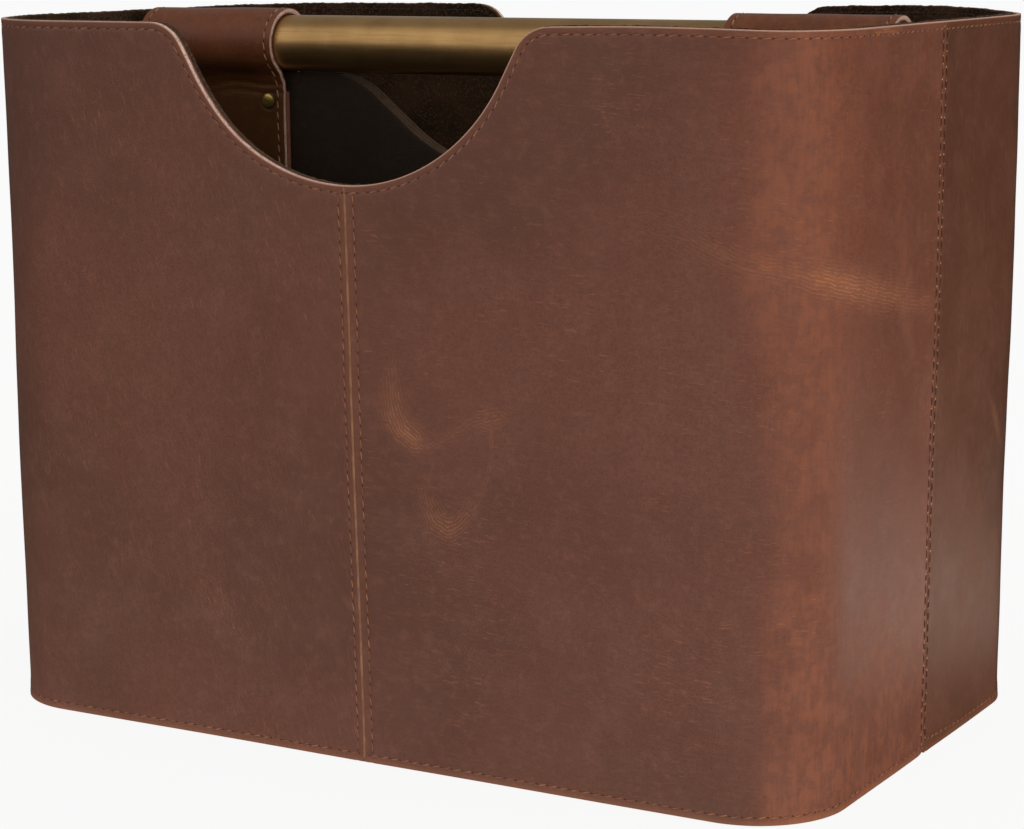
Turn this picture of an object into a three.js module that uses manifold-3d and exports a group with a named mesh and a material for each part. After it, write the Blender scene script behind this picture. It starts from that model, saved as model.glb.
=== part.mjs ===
// Magazine basket: an oblong leather tub with a divider and a round brass handle.
// Millimetres, +X along the basket, +Y to the back, +Z up. The origin is the centre
// of the footprint, on the surface that the basket stands on.

import * as THREE from 'three';
import { mergeVertices } from 'three/addons/utils/BufferGeometryUtils.js';
import Module from 'manifold-3d';

const wasm = await Module();
wasm.setup();

// Tub, measured over the outer leather
const HEIGHT = 300;
const LENGTH_BOTTOM = 392;
const LENGTH_TOP = 398;
const WIDTH_BOTTOM = 241;
const WIDTH_TOP = 265;
const CORNER_BOTTOM = 38;
const CORNER_TOP = 57;

// Working gap between pieces that lie on each other, and how far cutters run past
const FIT = 0.3;
const OVERRUN = 2;

// Wall: outer leather and suede lining
const LEATHER = 3;
const LINING = 2.4;
const LINING_PROUD = 0.4;
const EDGE_BEVEL = 0.7;

// Seams: the leather is skived on the inside to take a stay strip
const SKIVED_LEATHER = 1.8;
const STRIP_WIDTH = 18;
const SKIVE_RUN = 3;

// Hand cut-out in the front and back walls
const NOTCH_HALF_WIDTH = 95;
const NOTCH_DEPTH = 63.5;
const NOTCH_BOTTOM_RADIUS = 75;
const NOTCH_SHOULDER_RADIUS = 24;

// Bottom: leather tray, board and suede
const TRAY = 2.5;
const TRAY_LIP = 2.4;
const BOARD = 2.5;
const BASE_SUEDE = 2;

// Handle tube and the plugs in its ends
const BAR_RADIUS = 12.5;
const BAR_WALL = 1.5;
const PLUG_HEAD = 2;
const PLUG_SPIGOT = 9;
const PLUG_CHAMFER = 0.5;

// Straps that loop over the bar: the front leaf lies on a pad on the divider's face,
// and the back leaf is let into the divider between its faces
const STRAP = 2.6;
const STRAP_WIDTH = 72.5;
const STRAP_ABOVE_RIM = 1.6;
const STRAP_WAIST_RADIUS = 13;
const STRAP_LEAF = 95;
const STRAP_PAD = 2.4;
const STRAP_SIDE_ROOM = 1;
const STRAP_END_ROOM = 9.3;

// Divider: a board between two leather faces with flanges on the end walls
const DIVIDER_FACE = 2.4;
const DIVIDER_FLANGE = 20;
const DIVIDER_UNDER_BAR = 0.5;
const BOARD_UNDER_EDGE = 0.6;
const BOARD_END_ROOM = 3.8;
const HAND_HOLE_HALF_WIDTH = 73;
const HAND_HOLE_DEPTH = 40;
const HAND_HOLE_BOTTOM_RADIUS = 45;
const HAND_HOLE_SHOULDER_RADIUS = 24;

// Double-cap rivets
const RIVET_HEAD_RADIUS = 3.1;
const RIVET_HEAD_RIM = 0.4;
const RIVET_DOME = 1.3;
const RIVET_POST_RADIUS = 1.4;
const RIVET_FROM_STRAP_EDGE = 8;
const RIVET_BELOW_WAIST = 4;
const RIVET_SOCKET_DEPTH = 0.9;

// Fineness of round shapes
const CORNER_STEPS = 10;
const ARC_STEPS = 8;
const BAR_STEPS = 32;
const RIVET_STEPS = 16;
const DOME_STEPS = 4;

// Depths below the outer surface of the wall
const LINING_FROM = LEATHER + FIT;
const LINING_TO = LINING_FROM + LINING;
const TRAY_TO = LINING_FROM + TRAY_LIP;
const BASE_TOP = TRAY + FIT + BOARD + FIT + BASE_SUEDE;
const STRIP_FROM = SKIVED_LEATHER + FIT;

// Places that follow from the sizes
const BAR_Z = HEIGHT + STRAP_ABOVE_RIM - STRAP - FIT - BAR_RADIUS;
const DIVIDER_BOARD = STRAP;
const DIVIDER_HALF = DIVIDER_BOARD / 2 + FIT + DIVIDER_FACE;
const DIVIDER_TOP = BAR_Z - BAR_RADIUS - DIVIDER_UNDER_BAR;
const DIVIDER_FOOT = BASE_TOP + FIT;
const LEAF_Y = (STRAP + FIT + STRAP_PAD + FIT + DIVIDER_FACE + FIT + STRAP) / 2;
const BAR_Y = DIVIDER_BOARD / 2 - LEAF_Y;
const STRAP_RADIUS = BAR_RADIUS + FIT + STRAP;
const WAIST_DROP = Math.sqrt(
  (STRAP_RADIUS + STRAP_WAIST_RADIUS) ** 2 - (LEAF_Y + STRAP_WAIST_RADIUS) ** 2);
const WAIST_Z = BAR_Z - WAIST_DROP;
const LEAF_END_Z = WAIST_Z - STRAP_LEAF;
const RIVET_Z = WAIST_Z - RIVET_BELOW_WAIST;

// Finishes
const finish = (color, roughness, metalness = 0) =>
  new THREE.MeshStandardMaterial({ color, roughness, metalness });
const outerLeather = finish(0x5e3e32, 0.55);
const strapLeather = finish(0x5a3423, 0.5);
const dividerLeather = finish(0x33241c, 0.6);
const suede = finish(0x2a211b, 0.95);
const baseLeather = finish(0x4a3026, 0.7);
const fibreboard = finish(0x8a7355, 0.9);
const brass = finish(0x96733f, 0.35, 1);

const basket = new THREE.Group();

function place(name, geometry, material, [x, y, z] = [0, 0, 0]) {
  const mesh = new THREE.Mesh(geometry, material);
  mesh.name = name;
  mesh.position.set(x, y, z);
  basket.add(mesh);
  return mesh;
}

// A closed geometry from points and triangles, with its faces turned outwards
function closedGeometry(points, triangles) {
  const volume = triangles.reduce((sum, [a, b, c]) =>
    sum + points[a].dot(new THREE.Vector3().crossVectors(points[b], points[c])), 0);
  const turned = volume < 0 ? triangles.map(([a, b, c]) => [a, c, b]) : triangles;
  const geometry = new THREE.BufferGeometry();
  geometry.setAttribute('position',
    new THREE.Float32BufferAttribute(points.flatMap((p) => p.toArray()), 3));
  geometry.setIndex(turned.flat());
  return geometry;
}

// Two triangles for each side of the band between two rings of equal length
function band(low, high, size) {
  return Array.from({ length: size }, (_, i) => {
    const next = (i + 1) % size;
    return [[low + i, low + next, high + next], [low + i, high + next, high + i]];
  }).flat();
}

// A solid through a row of four-sided or longer convex rings, closed at both ends
function ringsSolid(rings) {
  const size = rings[0].length;
  const triangles = rings.slice(1).flatMap((_, i) => band(i * size, (i + 1) * size, size));
  const last = (rings.length - 1) * size;
  for (let i = 1; i < size - 1; i += 1) {
    triangles.push([0, i + 1, i], [last, last + i, last + i + 1]);
  }
  return closedGeometry(rings.flat(), triangles);
}

// The plan of the tub at a height, as sizes that change evenly from bottom to top
const between = (low, high, z) => low + (high - low) * z / HEIGHT;
const halfLength = (z) => between(LENGTH_BOTTOM, LENGTH_TOP, z) / 2;
const halfWidth = (z) => between(WIDTH_BOTTOM, WIDTH_TOP, z) / 2;
const cornerRadius = (z) => between(CORNER_BOTTOM, CORNER_TOP, z);

// A station is a place along the front right quarter of the wall: on the front at x,
// on the corner at a turn from 0 to a right angle, or on the end at y
function wallPoint(station, z, depth, [flipX, flipY] = [1, 1]) {
  const radius = cornerRadius(z);
  let x = halfLength(z) - depth;
  let y = -halfWidth(z) + depth;
  if (station.kind === 'front') x = station.x;
  if (station.kind === 'end') y = -station.y;
  if (station.kind === 'corner') {
    x = halfLength(z) - radius + (radius - depth) * Math.sin(station.turn);
    y = -halfWidth(z) + radius - (radius - depth) * Math.cos(station.turn);
  }
  return new THREE.Vector3(x * flipX, y * flipY, z);
}

const cornerStations = Array.from({ length: CORNER_STEPS + 1 }, (_, i) => ({
  kind: 'corner', turn: (i / CORNER_STEPS) * Math.PI / 2, top: HEIGHT,
}));

// A cut-out in a top edge: a round bottom, straight flanks and round shoulders, whose
// radii shrink together where they are too large to meet within the cut-out.
// The result gives the edge's height at x, and the places of its corner points.
function notch({ rim, half, depth, ...radii }) {
  const room = (half ** 2 + depth ** 2) / (2 * depth);
  const fitted = Math.min(1, room / (radii.bottomRadius + radii.shoulderRadius));
  const bottomRadius = radii.bottomRadius * fitted;
  const shoulderRadius = radii.shoulderRadius * fitted;
  const bottom = rim - depth + bottomRadius;
  const shoulder = rim - shoulderRadius;
  const slope = Math.asin((bottomRadius + shoulderRadius) / Math.hypot(half, shoulder - bottom))
    + Math.atan2(shoulder - bottom, half);
  const flank = [bottomRadius * Math.sin(slope), half - shoulderRadius * Math.sin(slope)];
  const flankLow = bottom - bottomRadius * Math.cos(slope);
  const height = (x) => {
    const across = Math.abs(x);
    if (across >= half) return rim;
    if (across >= flank[1]) return shoulder + Math.sqrt(shoulderRadius ** 2 - (half - across) ** 2);
    if (across >= flank[0]) return flankLow + (across - flank[0]) * Math.tan(slope);
    return bottom - Math.sqrt(bottomRadius ** 2 - across ** 2);
  };
  const places = [];
  for (let i = 1; i <= ARC_STEPS; i += 1) {
    places.push(bottomRadius * Math.sin(slope * i / ARC_STEPS));
  }
  for (let i = ARC_STEPS; i >= 0; i -= 1) {
    places.push(half - shoulderRadius * Math.sin(slope * i / ARC_STEPS));
  }
  return { height, places };
}

// The wall's cut-out for an edge that stands proud of the leather's edge
const wallNotch = (proud) => notch({
  rim: HEIGHT + proud,
  half: NOTCH_HALF_WIDTH,
  depth: NOTCH_DEPTH,
  bottomRadius: NOTCH_BOTTOM_RADIUS - proud,
  shoulderRadius: NOTCH_SHOULDER_RADIUS + proud,
});

// Front stations from a start outwards, with the cut-out's points and any others
function frontStations(cut, start, others = []) {
  const places = [start, ...others, ...cut.places.filter((x) => x > start)];
  places.sort((a, b) => a - b);
  return places.map((x) => ({ kind: 'front', x, top: cut.height(x) }));
}

// Outer leather: four quarter panels from seam to seam, skived inside along the seams
const SEAM = FIT / 2;
const SKIVE_FROM = STRIP_WIDTH / 2 + FIT;
const SKIVE_TO = SKIVE_FROM + SKIVE_RUN;

function leatherDepth(station) {
  const fromSeam = station.kind === 'front' ? station.x : station.y;
  if (station.kind === 'corner' || fromSeam >= SKIVE_TO) return LEATHER;
  if (fromSeam <= SKIVE_FROM) return SKIVED_LEATHER;
  return SKIVED_LEATHER + (LEATHER - SKIVED_LEATHER) * (fromSeam - SKIVE_FROM) / SKIVE_RUN;
}

function outerPanel(flips) {
  const stations = [
    ...frontStations(wallNotch(0), SEAM, [SKIVE_FROM, SKIVE_TO]),
    ...cornerStations,
    ...[SKIVE_TO, SKIVE_FROM, SEAM].map((y) => ({ kind: 'end', y, top: HEIGHT })),
  ];
  return ringsSolid(stations.map((station) => {
    const depth = leatherDepth(station);
    const point = (z, d) => wallPoint(station, z, d, flips);
    return [
      point(EDGE_BEVEL, 0), point(station.top - EDGE_BEVEL, 0),
      point(station.top, EDGE_BEVEL), point(station.top, depth),
      point(0, depth), point(0, EDGE_BEVEL),
    ];
  }));
}

const quarters = [
  ['front_right', [1, 1]], ['front_left', [-1, 1]], ['back_right', [1, -1]], ['back_left', [-1, -1]],
];
for (const [name, flips] of quarters) {
  place(`outer_panel_${name}`, outerPanel(flips), outerLeather);
}

// Stay strips behind the four seams
function frontStrip(flipY) {
  const cut = wallNotch(0);
  const places = [-STRIP_WIDTH / 2, 0, STRIP_WIDTH / 2];
  return ringsSolid(places.map((x) => {
    const point = (z, depth) => wallPoint({ kind: 'front', x }, z, depth, [1, flipY]);
    const top = cut.height(x) - FIT;
    return [point(0, STRIP_FROM), point(top, STRIP_FROM), point(top, LEATHER), point(0, LEATHER)];
  }));
}

function endStrip(flipX) {
  const places = [-STRIP_WIDTH / 2, STRIP_WIDTH / 2];
  return ringsSolid(places.map((y) => {
    const point = (z, depth) => wallPoint({ kind: 'end', y }, z, depth, [flipX, 1]);
    const top = HEIGHT - FIT;
    return [point(0, STRIP_FROM), point(top, STRIP_FROM), point(top, LEATHER), point(0, LEATHER)];
  }));
}

place('seam_strip_front', frontStrip(1), baseLeather);
place('seam_strip_back', frontStrip(-1), baseLeather);
place('seam_strip_right', endStrip(1), baseLeather);
place('seam_strip_left', endStrip(-1), baseLeather);

// Suede lining: a front and a back half, meeting under the divider's flanges
function liningHalf(flipY) {
  const cut = wallNotch(LINING_PROUD);
  const right = [
    ...frontStations(cut, 0),
    ...cornerStations.map((station) => ({ ...station, top: HEIGHT + LINING_PROUD })),
    { kind: 'end', y: SEAM, top: HEIGHT + LINING_PROUD },
  ];
  const low = BASE_TOP + FIT;
  const ring = (station, flipX) => {
    const point = (z, depth) => wallPoint(station, z, depth, [flipX, flipY]);
    return [
      point(low, LINING_FROM), point(station.top, LINING_FROM),
      point(station.top, LINING_TO), point(low, LINING_TO),
    ];
  };
  const leftRings = right.slice(1).reverse().map((station) => ring(station, -1));
  return ringsSolid([...leftRings, ...right.map((station) => ring(station, 1))]);
}

place('lining_front', liningHalf(1), suede);
place('lining_back', liningHalf(-1), suede);

// Bottom: closed outlines stacked from the first to the last, both of them capped
function outline(z, depth) {
  const flipped = [[1, 1], [1, -1], [-1, -1], [-1, 1]];
  return flipped.flatMap((flips) => {
    const corner = cornerStations.map((station) => wallPoint(station, z, depth, flips));
    return flips[0] === flips[1] ? corner : corner.reverse();
  });
}

const stackedSolid = (levels) => ringsSolid(levels.map(([z, depth]) => outline(z, depth)));

place('base_tray', stackedSolid([
  [0, LINING_FROM], [BASE_TOP, LINING_FROM], [BASE_TOP, TRAY_TO], [TRAY, TRAY_TO],
]), baseLeather);
const boardFoot = TRAY + FIT;
place('base_board', stackedSolid([
  [boardFoot, TRAY_TO + FIT], [boardFoot + BOARD, TRAY_TO + FIT],
]), fibreboard);
const suedeFoot = boardFoot + BOARD + FIT;
place('base_lining', stackedSolid([
  [suedeFoot, TRAY_TO + FIT], [suedeFoot + BASE_SUEDE, TRAY_TO + FIT],
]), suede);

// Solids for cutting and joining
function toSolid(geometry) {
  const bare = geometry.clone();
  bare.deleteAttribute('normal');
  bare.deleteAttribute('uv');
  const merged = mergeVertices(bare);
  return new wasm.Manifold(new wasm.Mesh({
    numProp: 3,
    vertProperties: new Float32Array(merged.attributes.position.array),
    triVerts: new Uint32Array(merged.index.array),
  }));
}

function toGeometry(solid) {
  const { vertProperties, triVerts } = solid.getMesh();
  const geometry = new THREE.BufferGeometry();
  geometry.setAttribute('position', new THREE.Float32BufferAttribute(vertProperties, 3));
  geometry.setIndex(Array.from(triVerts));
  return geometry;
}

// Straps and bar end level with each other, clear of the end walls over the straps' height
const STRAP_OUTER_EDGE = Math.min(halfLength(BAR_Z), halfLength(LEAF_END_Z))
  - LINING_TO - STRAP_END_ROOM;
const STRAP_MIDDLE = STRAP_OUTER_EDGE - STRAP_WIDTH / 2;
const strapSides = [['left', -STRAP_MIDDLE], ['right', STRAP_MIDDLE]];

// Handle: tube and end plugs along X
const BAR_HALF = STRAP_OUTER_EDGE - PLUG_HEAD;
const alongX = new THREE.Matrix4().makeBasis(
  new THREE.Vector3(0, 1, 0), new THREE.Vector3(0, 0, 1), new THREE.Vector3(1, 0, 0));

function barTube() {
  const section = new THREE.Shape();
  section.absarc(0, 0, BAR_RADIUS, 0, 2 * Math.PI);
  const bore = new THREE.Path();
  bore.absarc(0, 0, BAR_RADIUS - BAR_WALL, 0, 2 * Math.PI);
  section.holes.push(bore);
  const length = 2 * BAR_HALF;
  const tube = new THREE.ExtrudeGeometry(section, {
    depth: length, bevelEnabled: false, curveSegments: BAR_STEPS,
  });
  return tube.translate(0, 0, -length / 2).applyMatrix4(alongX);
}

function lathe(profile, steps) {
  return new THREE.LatheGeometry(profile.map(([r, h]) => new THREE.Vector2(r, h)), steps);
}

function endPlug() {
  const spigot = BAR_RADIUS - BAR_WALL - FIT;
  return lathe([
    [0, -PLUG_SPIGOT], [spigot, -PLUG_SPIGOT], [spigot, FIT], [BAR_RADIUS, FIT],
    [BAR_RADIUS, PLUG_HEAD - PLUG_CHAMFER], [BAR_RADIUS - PLUG_CHAMFER, PLUG_HEAD], [0, PLUG_HEAD],
  ], BAR_STEPS);
}

place('handle_bar', barTube(), brass, [0, BAR_Y, BAR_Z]);
for (const [name, side] of [['left', -1], ['right', 1]]) {
  const plug = place(`bar_plug_${name}`, endPlug(), brass, [side * BAR_HALF, BAR_Y, BAR_Z]);
  plug.rotation.z = -side * Math.PI / 2;
}

// Divider: columns along X with the hand hole under the bar
const handHole = notch({
  rim: DIVIDER_TOP,
  half: HAND_HOLE_HALF_WIDTH,
  depth: HAND_HOLE_DEPTH,
  bottomRadius: HAND_HOLE_BOTTOM_RADIUS,
  shoulderRadius: HAND_HOLE_SHOULDER_RADIUS,
});
const dividerEnd = (z) => halfLength(z) - LINING_TO - FIT;
const dividerPlaces = [0, ...handHole.places];

// A ring of the divider from its foot to a top edge, through a shown and a glued side.
// Each side has its x as a function of the height, because the end walls lean.
function dividerRing(flipX, top, [shownX, shownY], [gluedX, gluedY]) {
  const point = (x, y, z) => new THREE.Vector3(x(z) * flipX, y, z);
  return [
    point(shownX, shownY, DIVIDER_FOOT), point(shownX, shownY, top),
    point(gluedX, gluedY, top), point(gluedX, gluedY, DIVIDER_FOOT),
  ];
}

const upright = (x) => () => x;

function mirroredRings(makeRings) {
  const [first, ...right] = makeRings(1);
  const left = makeRings(-1).slice(1).reverse();
  return ringsSolid([...left, first, ...right]);
}

function dividerFace(side) {
  const glued = side * (DIVIDER_BOARD / 2 + FIT);
  const shown = side * DIVIDER_HALF;
  const tip = side * (DIVIDER_HALF + DIVIDER_FLANGE);
  const flangeInside = (z) => dividerEnd(z) - DIVIDER_FACE;
  return mirroredRings((flipX) => [
    ...dividerPlaces.map((x) =>
      dividerRing(flipX, handHole.height(x), [upright(x), shown], [upright(x), glued])),
    dividerRing(flipX, DIVIDER_TOP, [flangeInside, shown], [dividerEnd, glued]),
    dividerRing(flipX, DIVIDER_TOP, [flangeInside, tip], [dividerEnd, tip]),
  ]);
}

// The board lies between the faces. It stops short of their turns on to the end walls, and
// reaches no further than the straps' outer edges, above which their slots cut it through.
function dividerBoard() {
  const face = DIVIDER_BOARD / 2;
  const end = (z) => Math.min(dividerEnd(z) - BOARD_END_ROOM, STRAP_OUTER_EDGE);
  return mirroredRings((flipX) => [
    ...dividerPlaces.map((x) => dividerRing(
      flipX, handHole.height(x) - BOARD_UNDER_EDGE, [upright(x), -face], [upright(x), face])),
    dividerRing(flipX, DIVIDER_TOP - BOARD_UNDER_EDGE, [end, -face], [end, face]),
  ]);
}

// Straps: one strip of leather each, over the bar and down both sides. This is half of the
// section, in the bar's own plane, from its leaf's end to the loop's top.
function strapHalf(inset) {
  const waistY = LEAF_Y + STRAP_WAIST_RADIUS;
  const lean = Math.atan2(WAIST_DROP, waistY);
  const points = [[LEAF_Y - inset, LEAF_END_Z]];
  for (let i = 0; i <= ARC_STEPS; i += 1) {
    const angle = Math.PI - lean * i / ARC_STEPS;
    const radius = STRAP_WAIST_RADIUS + inset;
    points.push([waistY + radius * Math.cos(angle), WAIST_Z + radius * Math.sin(angle)]);
  }
  const sweep = Math.PI / 2 + lean;
  for (let i = 1; i <= 2 * ARC_STEPS; i += 1) {
    const angle = -lean + sweep * i / (2 * ARC_STEPS);
    const radius = STRAP_RADIUS - inset;
    points.push([radius * Math.cos(angle), BAR_Z + radius * Math.sin(angle)]);
  }
  return points;
}

function strapSolid(middle) {
  const mirrored = (points) => points.slice(0, -1).map(([y, z]) => [-y, z]);
  const outer = strapHalf(0);
  const inner = strapHalf(STRAP);
  const loop = [
    ...outer, ...mirrored(outer).reverse(), ...mirrored(inner), ...inner.slice().reverse(),
  ];
  const section = new THREE.Shape(loop.map(([y, z]) => new THREE.Vector2(y, z)));
  const strip = new THREE.ExtrudeGeometry(section, { depth: STRAP_WIDTH, bevelEnabled: false });
  const turned = strip.translate(0, 0, -STRAP_WIDTH / 2).applyMatrix4(alongX);
  return toSolid(turned.translate(middle, BAR_Y, 0));
}

// A block as a solid, from its lowest to its highest corner
function block(low, high) {
  const size = new THREE.Vector3().subVectors(high, low);
  const middle = new THREE.Vector3().addVectors(low, high).divideScalar(2);
  const box = new THREE.BoxGeometry(size.x, size.y, size.z);
  return toSolid(box.translate(middle.x, middle.y, middle.z));
}

function strapPad(middle) {
  const back = -(DIVIDER_HALF + FIT);
  return block(
    new THREE.Vector3(middle - STRAP_WIDTH / 2, back - STRAP_PAD, LEAF_END_Z),
    new THREE.Vector3(middle + STRAP_WIDTH / 2, back, WAIST_Z));
}

// Room in the divider for the straps, from a height up through its top edge
function strapRoom(solid, fromZ) {
  const reach = STRAP_WIDTH / 2 + STRAP_SIDE_ROOM;
  const across = DIVIDER_HALF + OVERRUN;
  return strapSides.reduce((rest, [, middle]) => rest.subtract(block(
    new THREE.Vector3(middle - reach, -across, fromZ),
    new THREE.Vector3(middle + reach, across, DIVIDER_TOP + OVERRUN))), solid);
}

// Rivets: through the front leaf, the pad, the divider and the back leaf inside it
const rivetPlaces = strapSides.flatMap(([strap, middle]) => {
  const reach = STRAP_WIDTH / 2 - RIVET_FROM_STRAP_EDGE;
  const away = Math.sign(middle);
  return [
    { name: `${strap}_inner`, x: middle - away * reach },
    { name: `${strap}_outer`, x: middle + away * reach },
  ];
});
const RIVET_FRONT = BAR_Y - LEAF_Y - FIT;
const RIVET_BACK = DIVIDER_HALF + FIT;

function rivetHoles() {
  const length = RIVET_BACK - RIVET_FRONT + OVERRUN;
  const middle = (RIVET_BACK + RIVET_FRONT) / 2;
  const cylinder = new THREE.CylinderGeometry(
    RIVET_POST_RADIUS + FIT, RIVET_POST_RADIUS + FIT, length, RIVET_STEPS);
  return rivetPlaces.map(({ x }) => toSolid(cylinder.clone().translate(x, middle, RIVET_Z)));
}

const drilled = (solid) =>
  toGeometry(rivetHoles().reduce((rest, hole) => rest.subtract(hole), solid));

function domeProfile() {
  const rise = RIVET_DOME - RIVET_HEAD_RIM;
  return Array.from({ length: DOME_STEPS + 1 }, (_, i) => {
    const angle = (i / DOME_STEPS) * Math.PI / 2;
    return [
      i === DOME_STEPS ? 0 : RIVET_HEAD_RADIUS * Math.cos(angle),
      RIVET_HEAD_RIM + rise * Math.sin(angle),
    ];
  });
}

function rivetCap() {
  const postEnd = -(RIVET_BACK - RIVET_FRONT + RIVET_SOCKET_DEPTH - FIT);
  return lathe([
    [0, postEnd], [RIVET_POST_RADIUS, postEnd], [RIVET_POST_RADIUS, 0],
    [RIVET_HEAD_RADIUS, 0], ...domeProfile(),
  ], RIVET_STEPS);
}

// The back cap's socket takes the end of the post
function rivetBackCap() {
  const socket = RIVET_POST_RADIUS + FIT;
  return lathe([
    [0, RIVET_SOCKET_DEPTH], [socket, RIVET_SOCKET_DEPTH], [socket, 0],
    [RIVET_HEAD_RADIUS, 0], ...domeProfile(),
  ], RIVET_STEPS);
}

const backFace = strapRoom(toSolid(dividerFace(1)), WAIST_Z);
const board = strapRoom(toSolid(dividerBoard()), LEAF_END_Z - FIT);
place('divider_face_front', drilled(toSolid(dividerFace(-1))), dividerLeather);
place('divider_face_back', drilled(backFace), dividerLeather);
place('divider_board', toGeometry(board), fibreboard);

for (const [name, middle] of strapSides) {
  place(`strap_${name}`, drilled(strapSolid(middle)), strapLeather);
  place(`strap_pad_${name}`, drilled(strapPad(middle)), strapLeather);
}

for (const { name, x } of rivetPlaces) {
  const cap = place(`rivet_cap_${name}`, rivetCap(), brass, [x, RIVET_FRONT, RIVET_Z]);
  cap.rotation.x = Math.PI;
  place(`rivet_back_${name}`, rivetBackCap(), brass, [x, RIVET_BACK, RIVET_Z]);
}

export default basket;
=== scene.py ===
"""Dressed model of a magazine basket.

An oblong tub of oiled leather with a suede lining, a leather divider with a hand hole, and
a round brass handle that two wide straps hold over the divider.

The scene is in metres, with +X along the basket, +Y to the back and +Z up. The sizes that
the classes hold are millimetres, and MM turns them into metres where a mesh is written.
"""

import logging
import math
from collections.abc import Callable, Sequence
from dataclasses import dataclass, replace
from enum import Enum
from functools import cached_property

import bpy
import numpy as np
from mathutils import Matrix, Vector


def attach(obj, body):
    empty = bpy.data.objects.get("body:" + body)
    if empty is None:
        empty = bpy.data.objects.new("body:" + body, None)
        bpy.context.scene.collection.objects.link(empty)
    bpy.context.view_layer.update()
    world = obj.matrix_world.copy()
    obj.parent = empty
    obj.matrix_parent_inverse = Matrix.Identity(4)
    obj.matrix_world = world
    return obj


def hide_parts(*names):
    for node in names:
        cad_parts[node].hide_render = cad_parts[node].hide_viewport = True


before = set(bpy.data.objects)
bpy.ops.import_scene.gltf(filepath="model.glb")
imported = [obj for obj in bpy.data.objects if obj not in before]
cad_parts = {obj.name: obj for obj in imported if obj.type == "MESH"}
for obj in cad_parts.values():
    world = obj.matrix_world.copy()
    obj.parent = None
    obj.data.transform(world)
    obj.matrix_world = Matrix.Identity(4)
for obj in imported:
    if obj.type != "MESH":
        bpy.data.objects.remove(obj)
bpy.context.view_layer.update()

Array = np.ndarray
Piece = bpy.types.Object
Flips = tuple[int, int]
Line = tuple[Array, Array]

MM = 0.001
FIT = 0.3
QUARTER_TURN = math.pi / 2.0
BASKET = "basket"
HANDLE = "handle"
log = logging.getLogger("basket")


# Bench tools


def smooth(value: Array) -> Array:
    """Eases from 0 to 1 while the value runs from 0 to 1, and stays level outside."""
    t = np.clip(value, 0.0, 1.0)
    return t * t * (3.0 - 2.0 * t)


def bump(distance: Array, width: float) -> Array:
    """A rounded ridge of height 1 at distance 0, that fades over the width."""
    return np.exp(-((distance / width) ** 2))


def unit(vectors: Array) -> Array:
    """The vectors with length 1."""
    return vectors / np.linalg.norm(vectors, axis=-1, keepdims=True)


def joined(*parts: Array | float) -> Array:
    """Coordinates put together as the last axis, each spread to the shape of the rest."""
    return np.stack(np.broadcast_arrays(*parts), axis=-1)


def both_ways(right: Array) -> Array:
    """Places from 0 out to the right, with their mirror images on the left."""
    return np.concatenate([-right[:0:-1], right])


def side_of(places: Array) -> Array:
    """The side of each place, 1 for the right and the middle and -1 for the left."""
    return np.sign(places) + (places == 0)


def run_of(line: Array) -> Array:
    """The distance along a line at each of its points."""
    return np.concatenate([[0.0], np.cumsum(np.linalg.norm(np.diff(line, axis=0), axis=1))])


def steps(*parts: tuple[float, float, float]) -> Array:
    """Joins stretches of evenly spaced places.

    Args:
        *parts: For each stretch its start, its end and the largest spacing.

    Returns:
        The places in rising order, each of them once.
    """
    runs = [np.linspace(a, b, max(2, math.ceil((b - a) / step) + 1)) for a, b, step in parts]
    places = np.unique(np.round(np.concatenate(runs), 5))
    return places[np.concatenate([[True], np.diff(places) > 1e-3])]


def spaced(points: Array, normals: Array, pitch: float) -> Line:
    """Places evenly spaced along a line on a surface.

    Args:
        points: The line, in millimetres.
        normals: The outward direction at each point.
        pitch: The wanted spacing, which is fitted to the line's length.

    Returns:
        The places and their outward directions.
    """
    run = run_of(points)
    at = np.linspace(0.0, run[-1], max(1, round(run[-1] / pitch)) + 1)
    places, outward = (joined(*(np.interp(at, run, part) for part in of.T)) for of in (points, normals))
    return places, unit(outward)


def ripple(points: Array, waves: Sequence[tuple[float, float]], seed: int) -> Array:
    """Soft uneven swelling, as a sum of waves that run in fixed directions.

    Args:
        points: Places in millimetres.
        waves: Length and height of each wave in millimetres.
        seed: Picks the directions.

    Returns:
        The height of the swelling at each place.
    """
    draw = np.random.default_rng(seed)
    total = np.zeros(points.shape[:-1])
    for length, height in waves:
        for _ in range(3):
            direction = unit(draw.normal(size=3))
            phase = draw.uniform(0.0, 2.0 * math.pi)
            total += height / 2.0 * np.sin(points @ direction * 2.0 * math.pi / length + phase)
    return total


def deselect() -> None:
    """Leaves nothing selected, so that an operator acts on the new piece alone."""
    bpy.ops.object.select_all(action="DESELECT")


def take(piece: Piece) -> None:
    """Selects one piece alone and makes it the active one.

    Args:
        piece: The piece to work on.
    """
    deselect()
    piece.select_set(True)
    bpy.context.view_layer.objects.active = piece


def edit(piece: Piece, *actions: Callable[[], object]) -> None:
    """Runs edit mode actions on the whole of a piece.

    Args:
        piece: The piece to work on.
        *actions: What to run, in order, with everything selected.
    """
    take(piece)
    bpy.ops.object.mode_set(mode="EDIT")
    bpy.ops.mesh.select_mode(type="VERT")
    bpy.ops.mesh.select_all(action="SELECT")
    for action in actions:
        action()
    bpy.ops.object.mode_set(mode="OBJECT")


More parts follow.
